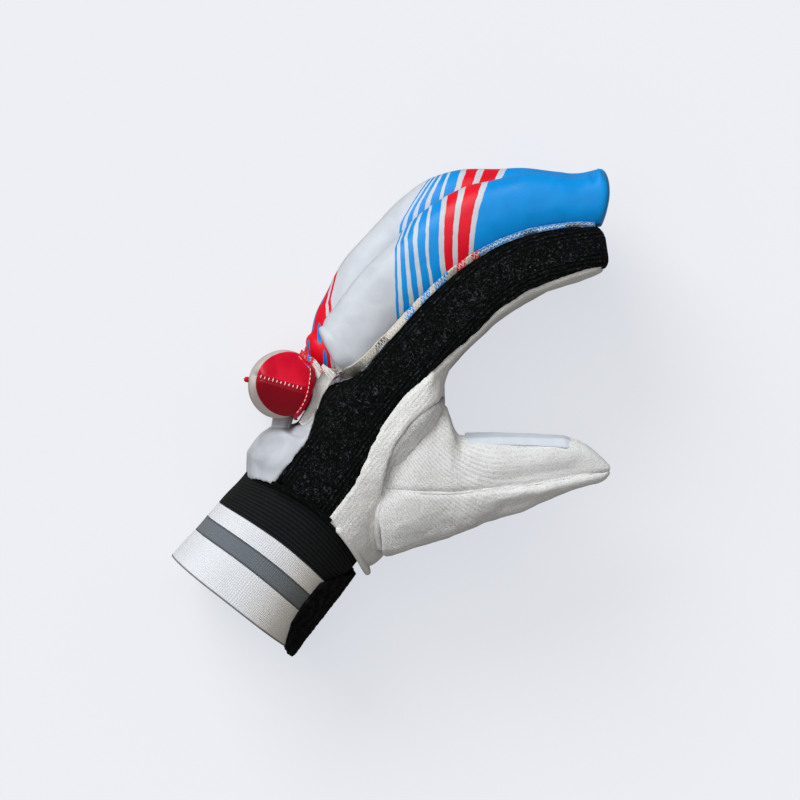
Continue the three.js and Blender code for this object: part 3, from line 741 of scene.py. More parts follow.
# %% Cotton knit
def knit_finish(name, light, dark, wale, rows, smooth_from=400):
    """Cotton knit. The wale is in mm, and rows says how strongly the wales show."""
    material, tree, shader = finish_of(name, Roughness=0.92, IOR=1.45, Sheen_Weight=0.15, Sheen_Roughness=0.6)
    shader.inputs["Sheen Tint"].default_value = linear("#fffaf0")
    place = place_of(tree)
    where = parts_of(tree, cloth_of(tree))
    tall = maths(tree, "MULTIPLY", parts_of(tree, place)["Z"], 1000)
    up = maths(tree, "POWER", parts_of(tree, add(tree, "NewGeometry").outputs["Normal"])["Z"], 2.0)
    wales = []
    for across in (where["Y"], tall):
        spot = add(tree, "CombineXYZ", {0: where["X"], 1: across}).outputs[0]
        wales.append(waves(tree, spot, wale, "Y", 1.6, 3, 0.35))
    ribs = add(tree, "Mix", {0: up, 2: wales[1], 3: wales[0]}).outputs[0]
    speck = remap(tree, grainy(tree, place, 1500, 2, 0.6), 0.33, 0.6)
    strong = remap(tree, grainy(tree, place, 75, 3), 0.35, 0.65, 0.25 * rows, rows)
    flat = remap(tree, where["X"], smooth_from, smooth_from + 34, 1, 0.25)
    rib = maths(tree, "MULTIPLY", ribs, maths(tree, "MULTIPLY", strong, flat))
    knit = maths(tree, "MULTIPLY_ADD", speck, 0.6, rib)
    relief(tree, shader, knit, 0.6, 0.6)
    calm = remap(tree, flat, 1, 0.25, 0, 0.3)
    share = remap(tree, maths(tree, "ADD", knit, calm), 0.05, 0.75)
    painted(tree, shader, mixed(tree, share, dark, light))
    return material


cotton = knit_finish("white cotton knit", "#f6f5f1", "#dad6ce", 2.0, 0.3)
thumb_cotton = knit_finish("ribbed white cotton knit", "#ecece9", "#c5c1ba", 2.4, 0.6, 46)

# %% [markdown]
# ### Black warp knit net
# The side walls breathe through a polyester net. It is nearly pure black: light catches only odd
# loops of yarn, which show as grey specks about a millimetre long. Towards both edges the net
# turns to close ribs, and in the middle of the finger small eyelets lie in staggered rows. A
# second UV map gives the distance to the edge and the place along the hand.

# %% Polyester net
def net_finish(name):
    material, tree, shader = finish_of(name, 0.12, Roughness=0.85, IOR=1.45)
    place, where = place_of(tree), cloth_of(tree)
    rows = {"Vector": where, "Rotation": (0, 0, math.pi / 4), "Scale": (0.42, 0.34, 1)}
    turned = add(tree, "Mapping", rows)
    holes = add(tree, "TexVoronoi", {"Vector": turned.outputs[0], "Scale": 1.0, "Randomness": 0.5})
    far = holes.outputs["Distance"]
    yarn = grainy(tree, place, 560, 2.5, 0.7, 2.0)
    ribs = waves(tree, where, 1.9, "Y", 2.0)
    edge = parts_of(tree, add(tree, "UVMap", uv_map="edge").outputs[0])
    middle = remap(tree, edge["X"], 4, 8)
    woven = add(tree, "Mix", {0: middle, 2: ribs, 3: remap(tree, far, 0.1, 0.4)}).outputs[0]
    relief(tree, shader, maths(tree, "MULTIPLY_ADD", yarn, 2.0, woven), 1.0, 0.9)
    lit = maths(tree, "MULTIPLY", remap(tree, yarn, 0.54, 0.68), woven)
    tint = mixed(tree, lit, "#030404", "#4b5051")
    shows = remap(tree, grainy(tree, place, 60, 1), 0.5, 0.62)
    inside = maths(tree, "MULTIPLY", remap(tree, far, 0.2, 0.08), shows)
    along = maths(tree, "MULTIPLY", inside, remap(tree, edge["Y"], 70, 95))
    eyelet = maths(tree, "MULTIPLY", along, middle)
    painted(tree, shader, mixed(tree, eyelet, tint, "#5c5b56"))
    return material


net = net_finish("black polyester net")

# %% [markdown]
# ### Wristband cloths
# Elastic is woven with rubber threads that stand in fine ribs along the band. The striped part is
# a plain woven webbing. Both take their lines from the band's own UV map, in millimetres from the
# heel and around the wrist. The closure is loop pile: black, matt and hairy.

# %% Elastic, webbing and loop pile
WEBBING = (
    (-50, "#8d9194"), (-49.3, "#eaecee"), (-33.4, "#50565b"), (-32.4, "#6b7277"), (-25.6, "#50565b"),
    (-24.6, "#eaecee"), (-16.4, "#9a9ea1"),
)
WRIST_MIDDLE = 122


def elastic_finish():
    material, tree, shader = finish_of("black ribbed elastic", 0.25, Roughness=0.8, IOR=1.45)
    ribs = waves(tree, cloth_of(tree), 1.5, "X", 0.8, 2, 0.3)
    height = maths(tree, "MULTIPLY_ADD", grainy(tree, place_of(tree), 1500), 0.9, ribs)
    relief(tree, shader, height, 0.9, 0.6)
    painted(tree, shader, mixed(tree, remap(tree, height, 0.55, 1.5), "#040505", "#181b1c"))
    return material


def webbing_finish():
    material, tree, shader = finish_of("striped woven webbing", Roughness=0.85, IOR=1.48, Sheen_Weight=0.1)
    where = cloth_of(tree)
    warp, weft = waves(tree, where, 1.0, "X", 0.6), waves(tree, where, 0.9, "Y", 0.6)
    weave = maths(tree, "MULTIPLY", warp, weft)
    height = maths(tree, "MULTIPLY_ADD", grainy(tree, place_of(tree), 1500), 0.9, weave)
    relief(tree, shader, height, 0.5, 0.4)
    spot = parts_of(tree, where)
    stripes = stepped(tree, spot["X"], -50, -10, WEBBING)
    flecks = remap(tree, height, 0.3, 1.1, 0.84, 1.0)
    tone = add(tree, "CombineXYZ", dict.fromkeys(range(3), flecks)).outputs[0]
    tint = mixed(tree, 1.0, stripes, tone, "MULTIPLY")
    side = maths(tree, "ABSOLUTE", maths(tree, "SUBTRACT", spot["Y"], WRIST_MIDDLE))
    warm = mixed(tree, remap(tree, side, 62, 88), (1, 1, 1, 1), "#f2e9dc")
    painted(tree, shader, mixed(tree, 1.0, tint, warm, "MULTIPLY"))
    return material


def pile_finish():
    material, tree, shader = finish_of("black loop pile", 0.15, Roughness=1.0, IOR=1.4)
    place = place_of(tree)
    loops = add(tree, "TexVoronoi", {"Vector": place, "Scale": 1000, "Randomness": 1.0}).outputs["Distance"]
    clumps = grainy(tree, place, 320, 4)
    relief(tree, shader, maths(tree, "MULTIPLY_ADD", loops, 0.8, clumps), 0.8, 0.8)
    painted(tree, shader, mixed(tree, remap(tree, clumps, 0.45, 0.75), "#040505", "#1d1f20"))
    return material


def thread_finish(name, colour):
    material, tree, shader = finish_of(name, Roughness=0.6, IOR=1.5)
    relief(tree, shader, grainy(tree, place_of(tree), 2400), 0.6, 0.2)
    shader.inputs["Base Color"].default_value = linear(colour)
    return material


elastic = elastic_finish()
webbing = webbing_finish()
pile = pile_finish()
white_thread = thread_finish("white sewing thread", "#f0eee6")
smooth_patch = plain_coat("pale smooth patch cloth", "#d5dbe1", "#c9cfd5", 0.5)
print("finishes:", len(bpy.data.materials))

# %% [markdown]
# ## The hand's panels
# The panels seen from above matter most, so they get the finest grid. A few creases follow the
# photograph: the fold under the bar, a pull beside the knuckles, and wrinkles in the palm strip.

# %% Dress the panels of the hand
def worn_by(piece, material):
    piece.data.materials.clear()
    piece.data.materials.append(material)
    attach(piece, "root")
    for face in piece.data.polygons:
        face.use_smooth = True
    return piece


def over(name, *places):
    """A path through places in t and n, on top of a smooth form."""
    return dropped(over_hand(places), [forms[name]])


all_forms = ("hand", *FINGERS["name"])
back_marks = (
    (over("hand", (35, 20), (33.5, 24), (32.5, 28), (33.5, 32), (34, 35)), 2.2, 2.2),
    (over("hand", (42, 24), (37, 27.5), (36, 30)), 3, 1.8),
    (over("hand", (30, 20), (27, 25), (23.5, 29), (19, 33)), 4, 1.3),
    (over("hand", (15, 21), (17, 27), (14, 34)), 5, -1.4),
    (over("hand", (29, 28), (27, 32), (22, 36)), 3.5, -1.2),
)
palm_marks = (
    (over("hand", (97, -6), (92, -12), (86, -15)), 3, 0.9),
    (over("hand", (70, -12), (58, -16), (46, -24)), 4, -1),
    (over("index", (160, -9), (163, -11), (167, -12.5)), 2, 1.6),
    (over("index", (148, -8.5), (152, -11), (156, -13)), 2.2, 1.4),
    (over("index", (172, -8), (176, -9.5), (181, -10.5)), 2, 1.1),
)
palm = worn_by(dressed("palm_panel", all_forms, 1.0, palm_marks, 0.7), cotton)
back = worn_by(dressed("back_panel", all_forms, 1.0, back_marks, 0.9, 18), white_coat)
points = points_of(back.data)
t, n = hand_place(points)
tuck = 0.45 * np.maximum(0, 12 - t) * ease(n, 22, 36)
put_points(back.data, points - outward(t) * (tuck / 1000)[:, None])


def edge_uv(piece, i):
    """How far each point of a side wall lies from the wall's nearer edge, in mm."""
    mesh = piece.data
    t, n = hand_place(points_of(mesh))
    low, high = seam_line(i, "low", t), seam_line(i, "high", t)
    put_uv(mesh, "edge", np.minimum(n - low, high - n), t)


walls = (
    ("index_side_gusset", ("hand", "index"), 0.8, 3),
    ("little_side_gusset", ("hand", "little"), 1.1, 0),
    ("fourchette_little_ring", ("little", "ring", "hand"), 1.0, 1),
    ("fourchette_ring_middle", ("ring", "middle", "hand"), 1.0, 2),
    ("fourchette_middle_index", ("middle", "index", "hand"), 0.9, 3),
)
for node, names, voxel, i in walls:
    wall = dressed(node, names, voxel, ripple=0.35)
    edge_uv(wall, i)
    worn_by(wall, net)

# %% Dress the thumb
def thumb_uv(piece):
    """The thumb's own measures in its UV map, bent so that the wales curve into the palm."""
    along, across = thumb_place(points_of(piece.data))
    put_uv(piece.data, "cloth", along, across - 0.75 * np.maximum(0, 62 - along) ** 2 / 37)


def over_thumb(places, shift=0):
    """A path through places along and across the thumb, on top of its smooth form."""
    places = np.array(places, float)
    return dropped(on_thumb(places[:, 0], places[:, 1] + shift, 0)[:, :2], [forms["thumb"]])


THUMB_SEAM = ((9, 0.5), (15, -1.8), (35, -4.3), (55, -4.5), (77, -3.5), (95, -1.8), (108, -0.6))
upper_marks = (
    (over_thumb(THUMB_SEAM, 0.6), 1.2, 0.7),
    (over_thumb(((48, -1.5), (62, -1), (80, 0.5), (96, 1.5), (104, 1.5))), 4.5, 2.2),
    (over_thumb(((30, 30), (33, 18), (41, 8), (52, 2))), 4, 0.9),
    (over_thumb(((36, 33), (39, 22), (47, 13))), 3.5, -1.4),
)
lower_marks = (
    (over_thumb(THUMB_SEAM, -0.6), 1.2, 0.7),
    (over_thumb(((52, -8.5), (66, -7.5), (82, -6), (98, -4), (106, -3))), 3, -1.3),
    (over_thumb(((50, -19), (60, -15), (74, -12), (86, -9.5))), 3, 1.1),
    (over_thumb(((58, -20), (66, -18), (76, -15.5))), 3, -1.2),
)
for node, marks, ripple in (("thumb_upper", upper_marks, 0.4), ("thumb_lower", lower_marks, 1.0)):
    half = dressed(node, ("thumb",), 0.8, marks, ripple, 13)
    thumb_uv(half)
    worn_by(half, thumb_cotton)
patch = dressed("thumb_patch", (), 0.6, ripple=0.15)
points = points_of(patch.data)
along, across = thumb_place(points)
near_end, far_end = 1 - ease(along, along.min(), along.min() + 20), ease(along, along.max() - 6, along.max())
points[:, 2] -= (0.35 + 0.4 * near_end + 0.5 * far_end) / 1000
put_points(patch.data, points)
worn_by(patch, smooth_patch)

# %% [markdown]
# ## The wristband
# A band is one ring of cloth. Its grid is wrapped round the wrist's section with a gap where the
# band opens on the palm side, and a Solidify modifier gives it its thickness. The closure is a
# shorter tab laid over that gap, with a pile surface and soft edges.

# %% Wrap the wristband
def band_spot(t, turn, out=0.0, floor=1.0):
    """A place on the wristband: t along it, turn from the palm side round, out past its face."""
    share = t / 50
    n0, n1 = 68 * through(BAND, "palm", share) - out, 68 * through(BAND, "back", share) + out
    z0, z1 = 86 * through(BAND, "foot", share) - out, 86 * through(BAND, "top", share) + out
    n, z = around(turn, 2.4)
    lean = 50 * through(BAND, "arch", share) * (1 - n * n)
    height = (z0 + z1) / 2 + z * (z1 - z0) / 2
    return on_hand(t + lean, (n0 + n1) / 2 + n * (n1 - n0) / 2, np.maximum(height, floor))


def sewn(name, bm, uv_of=None):
    """A finished bmesh as an object, its UV map turned from shares into millimetres."""
    mesh = bpy.data.meshes.new(name)
    bm.to_mesh(mesh)
    bm.free()
    if uv_of:
        uv = np.empty(len(mesh.loops) * 2)
        mesh.uv_layers["cloth"].data.foreach_get("uv", uv)
        across, along = uv_of(*uv.reshape(-1, 2).T)
        mesh.uv_layers["cloth"].data.foreach_set("uv", np.stack([across, along], 1).ravel())
    piece = bpy.data.objects.new(name, mesh)
    scene.collection.objects.link(piece)
    return piece


def walled(piece, thickness, levels=0):
    wall = piece.modifiers.new("wall", "SOLIDIFY")
    wall.thickness, wall.offset = thickness / 1000, 0
    if levels:
        soft = piece.modifiers.new("soft", "SUBSURF")
        soft.levels = soft.render_levels = levels
    return piece


def band(name, node, t0, t1, material):
    def place(u, v):
        return band_spot(t0 + v * (t1 - t0), 0.012 + u * 0.976, -1.0)

    bm = wrapped(240, 36, place, ends=False)
    piece = walled(sewn(name, bm, lambda u, v: (t0 + v * (t1 - t0), u * 245)), 2)
    points = points_of(piece.data)
    settled(piece, rippled(points, normals_of(piece.data), 16, 0.7, seed=5), 0.001)
    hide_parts(node)
    print(name, len(piece.data.polygons), "faces")
    return worn_by(piece, material)


band("ribbed_band", "wrist_elastic", -15.95, 4, elastic)
band("striped_band", "wrist_strap", -50, -16.05, webbing)

# %% Lay the closure
CLOSURE_T = (-53, -51, -47.2, -39.6, -30.4, -18, -5)
CLOSURE_EDGE = (-36, -31.3, -29.2, -26.2, -25, -25.5, -33.5)


def closure_place(u, v):
    """The tab from its free edge on top, round the palm side, to its foot under the wrist."""
    t = -53 + v * 48
    share = t / 50
    middle = 34 * (through(BAND, "palm", share) + through(BAND, "back", share))
    half = 34 * (through(BAND, "back", share) - through(BAND, "palm", share))
    reach = np.clip((middle - np.interp(t, CLOSURE_T, CLOSURE_EDGE)) / half, 0.05, 1)
    top = 0.5 + np.arccos(-(reach**1.2)) / (2 * np.pi)
    foot = 0.14 * np.clip((np.minimum(t + 53, -5 - t) + 4) / 8, 0.5, 1)
    turn = top + u * (1 + foot - top)
    puff = 2.1 * np.sin(np.pi * np.clip(u, 0.02, 0.98)) ** 0.3
    return band_spot(t, turn % 1, puff, 1.2)


tab_grid = wrapped(110, 70, closure_place, ends=False)
closure = walled(sewn("pile_closure", tab_grid, lambda u, v: (u * 80, v * 48)), 2)
out = normals_of(closure.data)
points = rippled(points_of(closure.data), out, 7, 0.5, seed=4)
settled(closure, rippled(points, out, 1.6, 0.35, seed=6), 0.001)
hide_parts("strap_closure")
worn_by(closure, pile)

# %% [markdown]
# ## The finger rolls
# A roll is a tube of printed vinyl stuffed with cotton or foam, sewn down along both sides of the
# finger and closed at its ends. Its section is round on top and flat on the finger. Each end is
# drawn as a superellipse too: a high power gives the blunt end of a stuffed tip.

# %% Stuff the finger rolls
def print_place(t, n):
    """How far along the print a point lies: the stripes slant, more so near the knuckles."""
    place = np.asarray(t, float) - 0.8 * (n - 30)
    for _ in range(14):
        slant = np.interp(place, (110, 119, 137, 151), (0.97, 0.8, 0.62, 0.66))
        curl = np.maximum(0, n - 43) * (1 - ease(place, 110, 135))
        place = 0.4 * place + 0.6 * (t - slant * (n - 30) - curl)
    return place


PRINT_SHIFT = {"little": (-8, 0), "ring": (6, 4), "middle": (9, 7), "index": (0, 0)}


def blunt(v, length, first, last):
    """Distance along a roll and how far it is closed, for v from one end to the other."""
    turn = np.clip(np.minimum(v, 1 - v) / 0.13, 0, 1) * np.pi / 2
    radius = np.where(v < 0.5, first, last)
    power = np.where(v < 0.5, 2.3, 3.8)
    from_end = radius * (1 - np.cos(turn) ** (2 / power))
    closing = np.sin(turn) ** (2 / power)
    body = first + (np.clip(v, 0.13, 0.87) - 0.13) / 0.74 * (length - first - last)
    return np.where(v < 0.13, from_end, np.where(v > 0.87, length - from_end, body)), closing


def roll_section(i, u, v):
    """Where a roll's cloth lies: t, n and height.

    The index roll's bed is lower past the knuckle, and the middle roll's is lower at its tip.
    """
    start, end = PALM - FINGERS["reach"][i] * FINGER, finger_end(i) + 2.5
    along, closing = blunt(v, end - start, 9, 5)
    t = start + along
    lean = FINGERS["lean"][i] * (1 - ease(t, start, PALM))
    under = np.maximum(hand_line("back", t), finger_line(i, "back", t))
    behind = np.maximum(hand_line("back", t - lean), finger_line(i, "back", t - lean))
    lower = 1.6 * (i == 3) * ease(t, 104, 130) + 2 * (i == 2) * ease(t, 158, 178)
    bed = np.maximum(under, behind) + 0.6 - lower
    share = (np.maximum(t, start + 3.2) - PALM) / np.where(t > PALM, finger_end(i) - PALM, FINGER)
    rise = 30 * FINGERS["plump"][i] * through(SLEEVE, "crown", share)
    z0, z1 = heights(i, 0.3)
    n, z = around(u, 2.35)
    n0, n1 = bed - 0.1 * rise, bed + rise * np.maximum(closing, 0.02)
    across = np.maximum((n0 + n1) / 2 + n * (n1 - n0) / 2, bed)
    height = (z0 + z1) / 2 + z * (z1 - z0) / 2 * closing**0.8
    upright = np.clip((across - bed) / rise, 0, 1) * 2 - 1
    swell = (3.3 * upright + 2.6 * (1 - upright**2)) * ease(t, end - 16, end)
    return t + lean * n + swell, across, np.maximum(height, 0)


def ears(points):
    """The two folded corners of vinyl that stand up at the crown of the index fingertip."""
    t, n = hand_place(points)
    top = ease(n, 28, 33)
    rise = 1.9 * np.exp(-(((t - 198.6) / 1.5) ** 2)) + 1.0 * np.exp(-(((t - 193.6) / 1.1) ** 2))
    rise -= 1.1 * np.exp(-(((t - 195.9) / 1.0) ** 2))
    return points + outward(t) * (rise * top / 1000)[:, None]


def clear_of_bar(points):
    """Points that would lie in the bar, moved out to its side."""
    away = points[:, :2] * 1000 - bar_middle
    far = np.linalg.norm(away, axis=1)
    reach = np.maximum(far, BAR_CLEAR)
    points = points.copy()
    points[:, :2] = (bar_middle + away * (reach / np.maximum(far, 1e-6))[:, None]) / 1000
    return points


def pocket_path():
    """The dent where the index roll meets its edge strip, beside the bar."""
    places = over_hand(((66, 31.5), (65.8, 28.6), (68, 25.8), (72, 24), (76, 23.6)))
    return np.column_stack([places, np.full(len(places), 0.093)])


def stuffed(i):
    name = FINGERS["name"][i]

    def place(u, v):
        return on_hand(*roll_section(i, u, v))

    def printed(u, v):
        t, n, _ = roll_section(i, u, v)
        more, out = PRINT_SHIFT[name]
        return print_place(t - more, n - out), u * 70

    piece = sewn("roll_" + name, wrapped(100, 170, place), printed)
    points, out = points_of(piece.data), normals_of(piece.data)
    points = rippled(points, out, 26, 0.5, seed=i)
    points = rippled(points, out, 8, 0.16, seed=i + 9)
    if name == "index":
        points = creased(points, out, pocket_path(), 2.6, 2.4)
        points = ears(points)
    settled(piece, clear_of_bar(points))
    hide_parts("finger_roll_" + name)
    return worn_by(piece, striped_coat if name == "index" else flecked_coat)


rolls = [stuffed(i) for i in range(4)]
print("rolls:", len(rolls), "of", len(rolls[0].data.polygons), "faces")

# %% [markdown]
# ## The knuckle bar
# The bar is a thick stuffed tube. Its end is closed as the end of a pillow is: the tube is pinched
# to one straight seam, so the end rises to that seam from both sides like a low tent. The seam
# dips a little where its thread pulls, and most at its outer end.

# %% Stuff the knuckle bar
SEAM_FROM, SEAM_TO = np.array([41.8, 56.3]), np.array([50.7, 31.7])
SEAM_WAY = (SEAM_TO - SEAM_FROM) / np.linalg.norm(SEAM_TO - SEAM_FROM)


def bar_spot(u, v):
    """The bar's tube, whose ends close as low tents over the seam."""
    angle = u * 2 * np.pi
    run = np.abs(v - 0.5) * 2
    cap = np.clip((run - 0.5) / 0.5, 0, 1)
    ring = 1 - cap**1.15
    side = np.minimum(run / 0.5, 1)
    t, n = BAR_RADIUS * ring * np.sin(angle), BAR_RADIUS * ring * np.cos(angle)
    away = np.abs(t * SEAM_WAY[1] - (n + BAR_OUT - 44) * SEAM_WAY[0])
    way = t * SEAM_WAY[0] + n * SEAM_WAY[1]
    slope = (1 - np.clip(away / 15.6, 0, 1) ** 1.35) ** 0.8
    tent = slope * (1 - np.clip(np.abs(way) / 15.4, 0, 1) ** 7) ** 0.5
    rim = np.sqrt(1 - np.clip(ring, 0, 1) ** 6)
    pulled = 1.1 * np.exp(-((away / 0.9) ** 2)) * ease(np.abs(way), 14, 11)
    dimple = 2.6 * np.exp(-((way + 12.4) ** 2 + away**2) / 5)
    top = CAP_FOOT + 12 * np.minimum(tent, rim) - pulled - dimple * (ring < 0.99)
    body = BAR_HEIGHT / 2 + (CAP_FOOT - BAR_HEIGHT / 2) * side
    z = np.where(cap > 0, top, body)
    z = np.where(v > 0.5, z, BAR_HEIGHT - z)
    return on_hand(BAR_AT + t, BAR_OUT + n, np.maximum(z, 0))


# The red cap sits off the bar's middle, towards the photograph's right.
RED_CAP = bar_middle + 3.3 * np.array([0.788, 0.616])


def bar_uv(u, v):
    """How far a point lies from the middle of the red cap, and how far below its seam, in mm. The second sets
    where the cap's painted shade falls.
    """
    flat = bar_spot(u, v)[:, :2] * 1000
    across = off_line(*SEAM_TO) - off_line(*SEAM_FROM)
    across /= np.linalg.norm(across)
    away = flat - heel - off_line(*SEAM_FROM)
    return np.linalg.norm(flat - RED_CAP, axis=1), away[:, 0] * across[1] - away[:, 1] * across[0]


stuffed_bar = sewn("stuffed_bar", wrapped(150, 190, bar_spot), bar_uv)
points, out = points_of(stuffed_bar.data), normals_of(stuffed_bar.data)
settled(stuffed_bar, rippled(points, out, 15, 0.5, seed=2))
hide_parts("knuckle_bar")
worn_by(stuffed_bar, capped_coat)
print("bar:", len(stuffed_bar.data.polygons), "faces")

# %% [markdown]
# ## Strips, hems and stitches
# The small parts that finish a sewn thing lie on what is already there. A strip is a grid whose
# points are dropped from above onto the pieces below it. A hem is a thin roll of cloth along an
# edge, and a seam allowance is one just under a seam. A stitch is a short rounded rod of thread,
# and a joined mesh holds each row of them.

# %% Strips, tubes and stitches
def tree_from(*pieces):
    """A search tree for each finished piece, to drop things onto."""
    trees = []
    for piece in pieces:
        bm = bmesh.new()
        bm.from_mesh(piece.data)
        trees.append(BVHTree.FromBMesh(bm))
        bm.free()
    return trees


def smooth_path(places, count):
    """Points at even shares of a path, on a smooth curve through its places."""
    places = np.array(places, float)
    steps = np.linalg.norm(np.diff(places, axis=0), axis=1)
    rows = {"at": np.concatenate([[0], np.cumsum(steps)])}
    for k in range(places.shape[1]):
        rows[k] = places[:, k]
    at = np.linspace(0, rows["at"][-1], count)
    return np.stack([through(rows, k, at) for k in range(places.shape[1])], 1)


def strip(name, inner, outer, trees, lift, material, thickness, fall=99, least=0):
    """A strip of cloth between two paths in t and n, dropped onto the pieces under it.

    It spans from its inner edge to its outer one without sagging, falls by no more than `fall`
    from its inner edge, and hangs no lower than `least` over the ground, both in mm.
    """
    count, across = 160, 8
    a, b = smooth_path(inner, count + 1), smooth_path(outer, count + 1)

    def lay(u, v):
        row = np.clip((v * count).round().astype(int), 0, count)
        return a[row] + (b[row] - a[row]) * u[:, None]

    def place(u, v):
        spots = dropped(over_hand(lay(u, v)), trees)
        grid = spots[np.lexsort((u.round(4), v.round(4)))].reshape(count + 1, across + 1, 3)
        for _ in range(6):
            grid[1:-1, :, 2] = (grid[:-2, :, 2] + 2 * grid[1:-1, :, 2] + grid[2:, :, 2]) / 4
            grid[:, 1:-1, 2] = (grid[:, :-2, 2] + 2 * grid[:, 1:-1, 2] + grid[:, 2:, 2]) / 4
        share = np.linspace(0, 1, across + 1)
        bridge = grid[:, :1, 2] * (1 - share) + grid[:, -1:, 2] * share
        grid[:, :, 2] = np.maximum(grid[:, :, 2], bridge)
        grid[:, :, 2] = np.maximum(grid[:, :, 2], grid[:, :1, 2] - share * fall / 1000)
        grid[:, :, 2] = np.maximum(grid[:, :, 2], least / 1000)
        spots[np.lexsort((u.round(4), v.round(4)))] = grid.reshape(-1, 3)
        spots[:, 2] += lift / 1000
        return spots

    def mapped(u, v):
        flat = lay(u, v)
        return print_place(flat[:, 0], flat[:, 1] + 6), u * 3

    bm = wrapped(across, count, place, ends=False)
    return worn_by(walled(sewn(name, bm, mapped), thickness, 1), material)


def tube(name, path, radius, material, sides=12):
    """A rod of cloth or thread along points in metres, swept round by a skin of rings."""
    path = np.asarray(path)
    ways = np.gradient(path, axis=0)
    ways /= np.linalg.norm(ways, axis=1)[:, None]
    upright = np.abs(ways[:, 2]).mean() > 0.9
    side = np.cross(ways, (1, 0, 0) if upright else (0, 0, 1))
    side /= np.maximum(np.linalg.norm(side, axis=1), 1e-9)[:, None]
    above = np.cross(side, ways)
    count = len(path) - 1

    def place(u, v):
        row = np.clip((v * count).round().astype(int), 0, count)
        thin = radius * np.where((row == 0) | (row == count), 0.3, 1)[:, None] / 1000
        c, s = np.cos(u * 2 * np.pi)[:, None], np.sin(u * 2 * np.pi)[:, None]
        return path[row] + (side[row] * c + above[row] * s) * thin

    piece = sewn(name, wrapped(sides, count, place), lambda u, v: (v * count, u * 6))
    return worn_by(piece, material)


def stitches(name, pairs, radius, material):
    """A joined mesh of short stitches, each from one point in metres to another."""
    bm = bmesh.new()
    for a, b in pairs:
        a, b = Vector(a), Vector(b)
        way = b - a
        turn = way.to_track_quat("X", "Z").to_matrix().to_4x4()
        size = Matrix.Diagonal((way.length / 2, radius / 1000, radius / 1000, 1))
        place = Matrix.Translation((a + b) / 2) @ turn @ size
        bmesh.ops.create_uvsphere(bm, u_segments=8, v_segments=6, radius=1, matrix=place)
    return worn_by(sewn(name, bm), material)


# %% Hems at the heel
def heel_edge(u0, u1):
    """The arched edge of the hand's cloth at its heel, from one turn round it to another."""
    out, back = 0.4, 0.6
    n, z = around(np.linspace(u0, u1, 70), 2.4)
    n0, n1 = hand_line("palm", 3.0), hand_line("back", 3.0)
    across = (n0 + n1) / 2 + n * ((n1 - n0) / 2 + out)
    t = 9.8 * (1 - (across / 38) ** 2) + back
    top = BREADTH * through(HAND, "top", t / PALM)
    height = (top - 2) / 2 + z * ((top + 2) / 2 + out)
    return on_hand(t, across, np.maximum(height, 1.3))


tube("palm_hem", heel_edge(0.8, 1.2), 1.5, cotton)
tube("thumb_side_hem", heel_edge(0.668, 0.785), 1.1, net)
tube("little_side_hem", heel_edge(0.215, 0.332), 1.1, net)

# %% Seam allowances under the seams of the thumb and the side
def seam_under(name, flat, radius, sink, pieces, material=thumb_cotton):
    """A soft rod of cloth just under the line where panels meet, in x and y in metres.

    It closes the gap between their rims. Along its path it goes down no faster than 1.2 mm a step.
    """
    trees = tree_from(*pieces)
    spots = []
    for x, y in flat:
        beside = [(x, y), (x + 0.003, y), (x - 0.003, y), (x, y + 0.003), (x, y - 0.003)]
        spots.append((x, y, np.median(dropped(beside, trees)[:, 2])))
    path = np.array(spots)
    for _ in range(6):
        path[1:-1, 2] = (path[:-2, 2] + 2 * path[1:-1, 2] + path[2:, 2]) / 4
    for k in range(1, len(path)):
        path[k, 2] = max(path[k, 2], path[k - 1, 2] - 0.0012)
    path[:, 2] = np.maximum(path[:, 2] - sink / 1000, (radius + 0.1) / 1000)
    return tube(name, path, radius, material)


thumb_pieces = [bpy.data.objects[name] for name in ("thumb_upper_cloth", "thumb_lower_cloth")]
side_wall = bpy.data.objects["index_side_gusset_cloth"]
BASE_SEAM = ((87.1, -19), (83.7, -19.3), (71.6, -16), (62.1, -15.8), (53.9, -16.7), (47.2, -18.4))
BASE_SEAM += ((39.1, -21.7), (32.5, -24.6), (23.1, -29.4), (17.5, -33.3), (12, -39))
PALM_SEAM = ((119, -7.9), (97, -2.9), (82, -3.3), (74, -3.9), (67, -3.6), (60, -4.8), (55, -6))
PALM_SEAM += ((47, -7.8), (31, -10.3), (16, -10.1), (11, -9.8))
BACK_SEAM = ((29, 17.6), (24, 17.4), (17, 17.4), (9.5, 17.4))
seam_under("thumb_base_seam", over_hand(smooth_path(BASE_SEAM, 70)), 2.0, 2.1, [palm, *thumb_pieces])
thumb_flat = on_thumb(*smooth_path(THUMB_SEAM, 70).T, 0)[:, :2]
seam_under("thumb_side_seam", thumb_flat, 1.1, 1.5, thumb_pieces)
for name, places in (("palm_side_seam", PALM_SEAM), ("back_side_seam", BACK_SEAM)):
    flat = over_hand(smooth_path(places, 90))
    seam_under(name, flat, 1.8, 2.2, [palm, back, side_wall], net)

# %% The printed edge of the index roll
under_edge = tree_from(back, side_wall, rolls[3], rolls[2])
FLANGE_IN = ((62.5, 33.5), (66.5, 27.4), (71.6, 22.8), (84, 20.8), (97, 19.9), (112, 19.4), (127, 18.4),
             (146, 16.6), (165, 14.8), (182, 13.2), (193.5, 11.6))
FLANGE_OUT = ((60.8, 29.4), (63.4, 24.8), (69, 19.2), (82, 17.2), (96, 16.2), (112, 16), (126, 15.4),
              (145, 13.7), (165, 12), (182, 10.8), (193.5, 9.4))
strip("roll_edge", FLANGE_IN, FLANGE_OUT, under_edge, 0.8, edge_coat, 0.9)
edge_path = smooth_path(FLANGE_OUT, 400)
inner_path = smooth_path(FLANGE_IN, 400)
on_edge = tree_from(bpy.data.objects["roll_edge"], rolls[3], back)


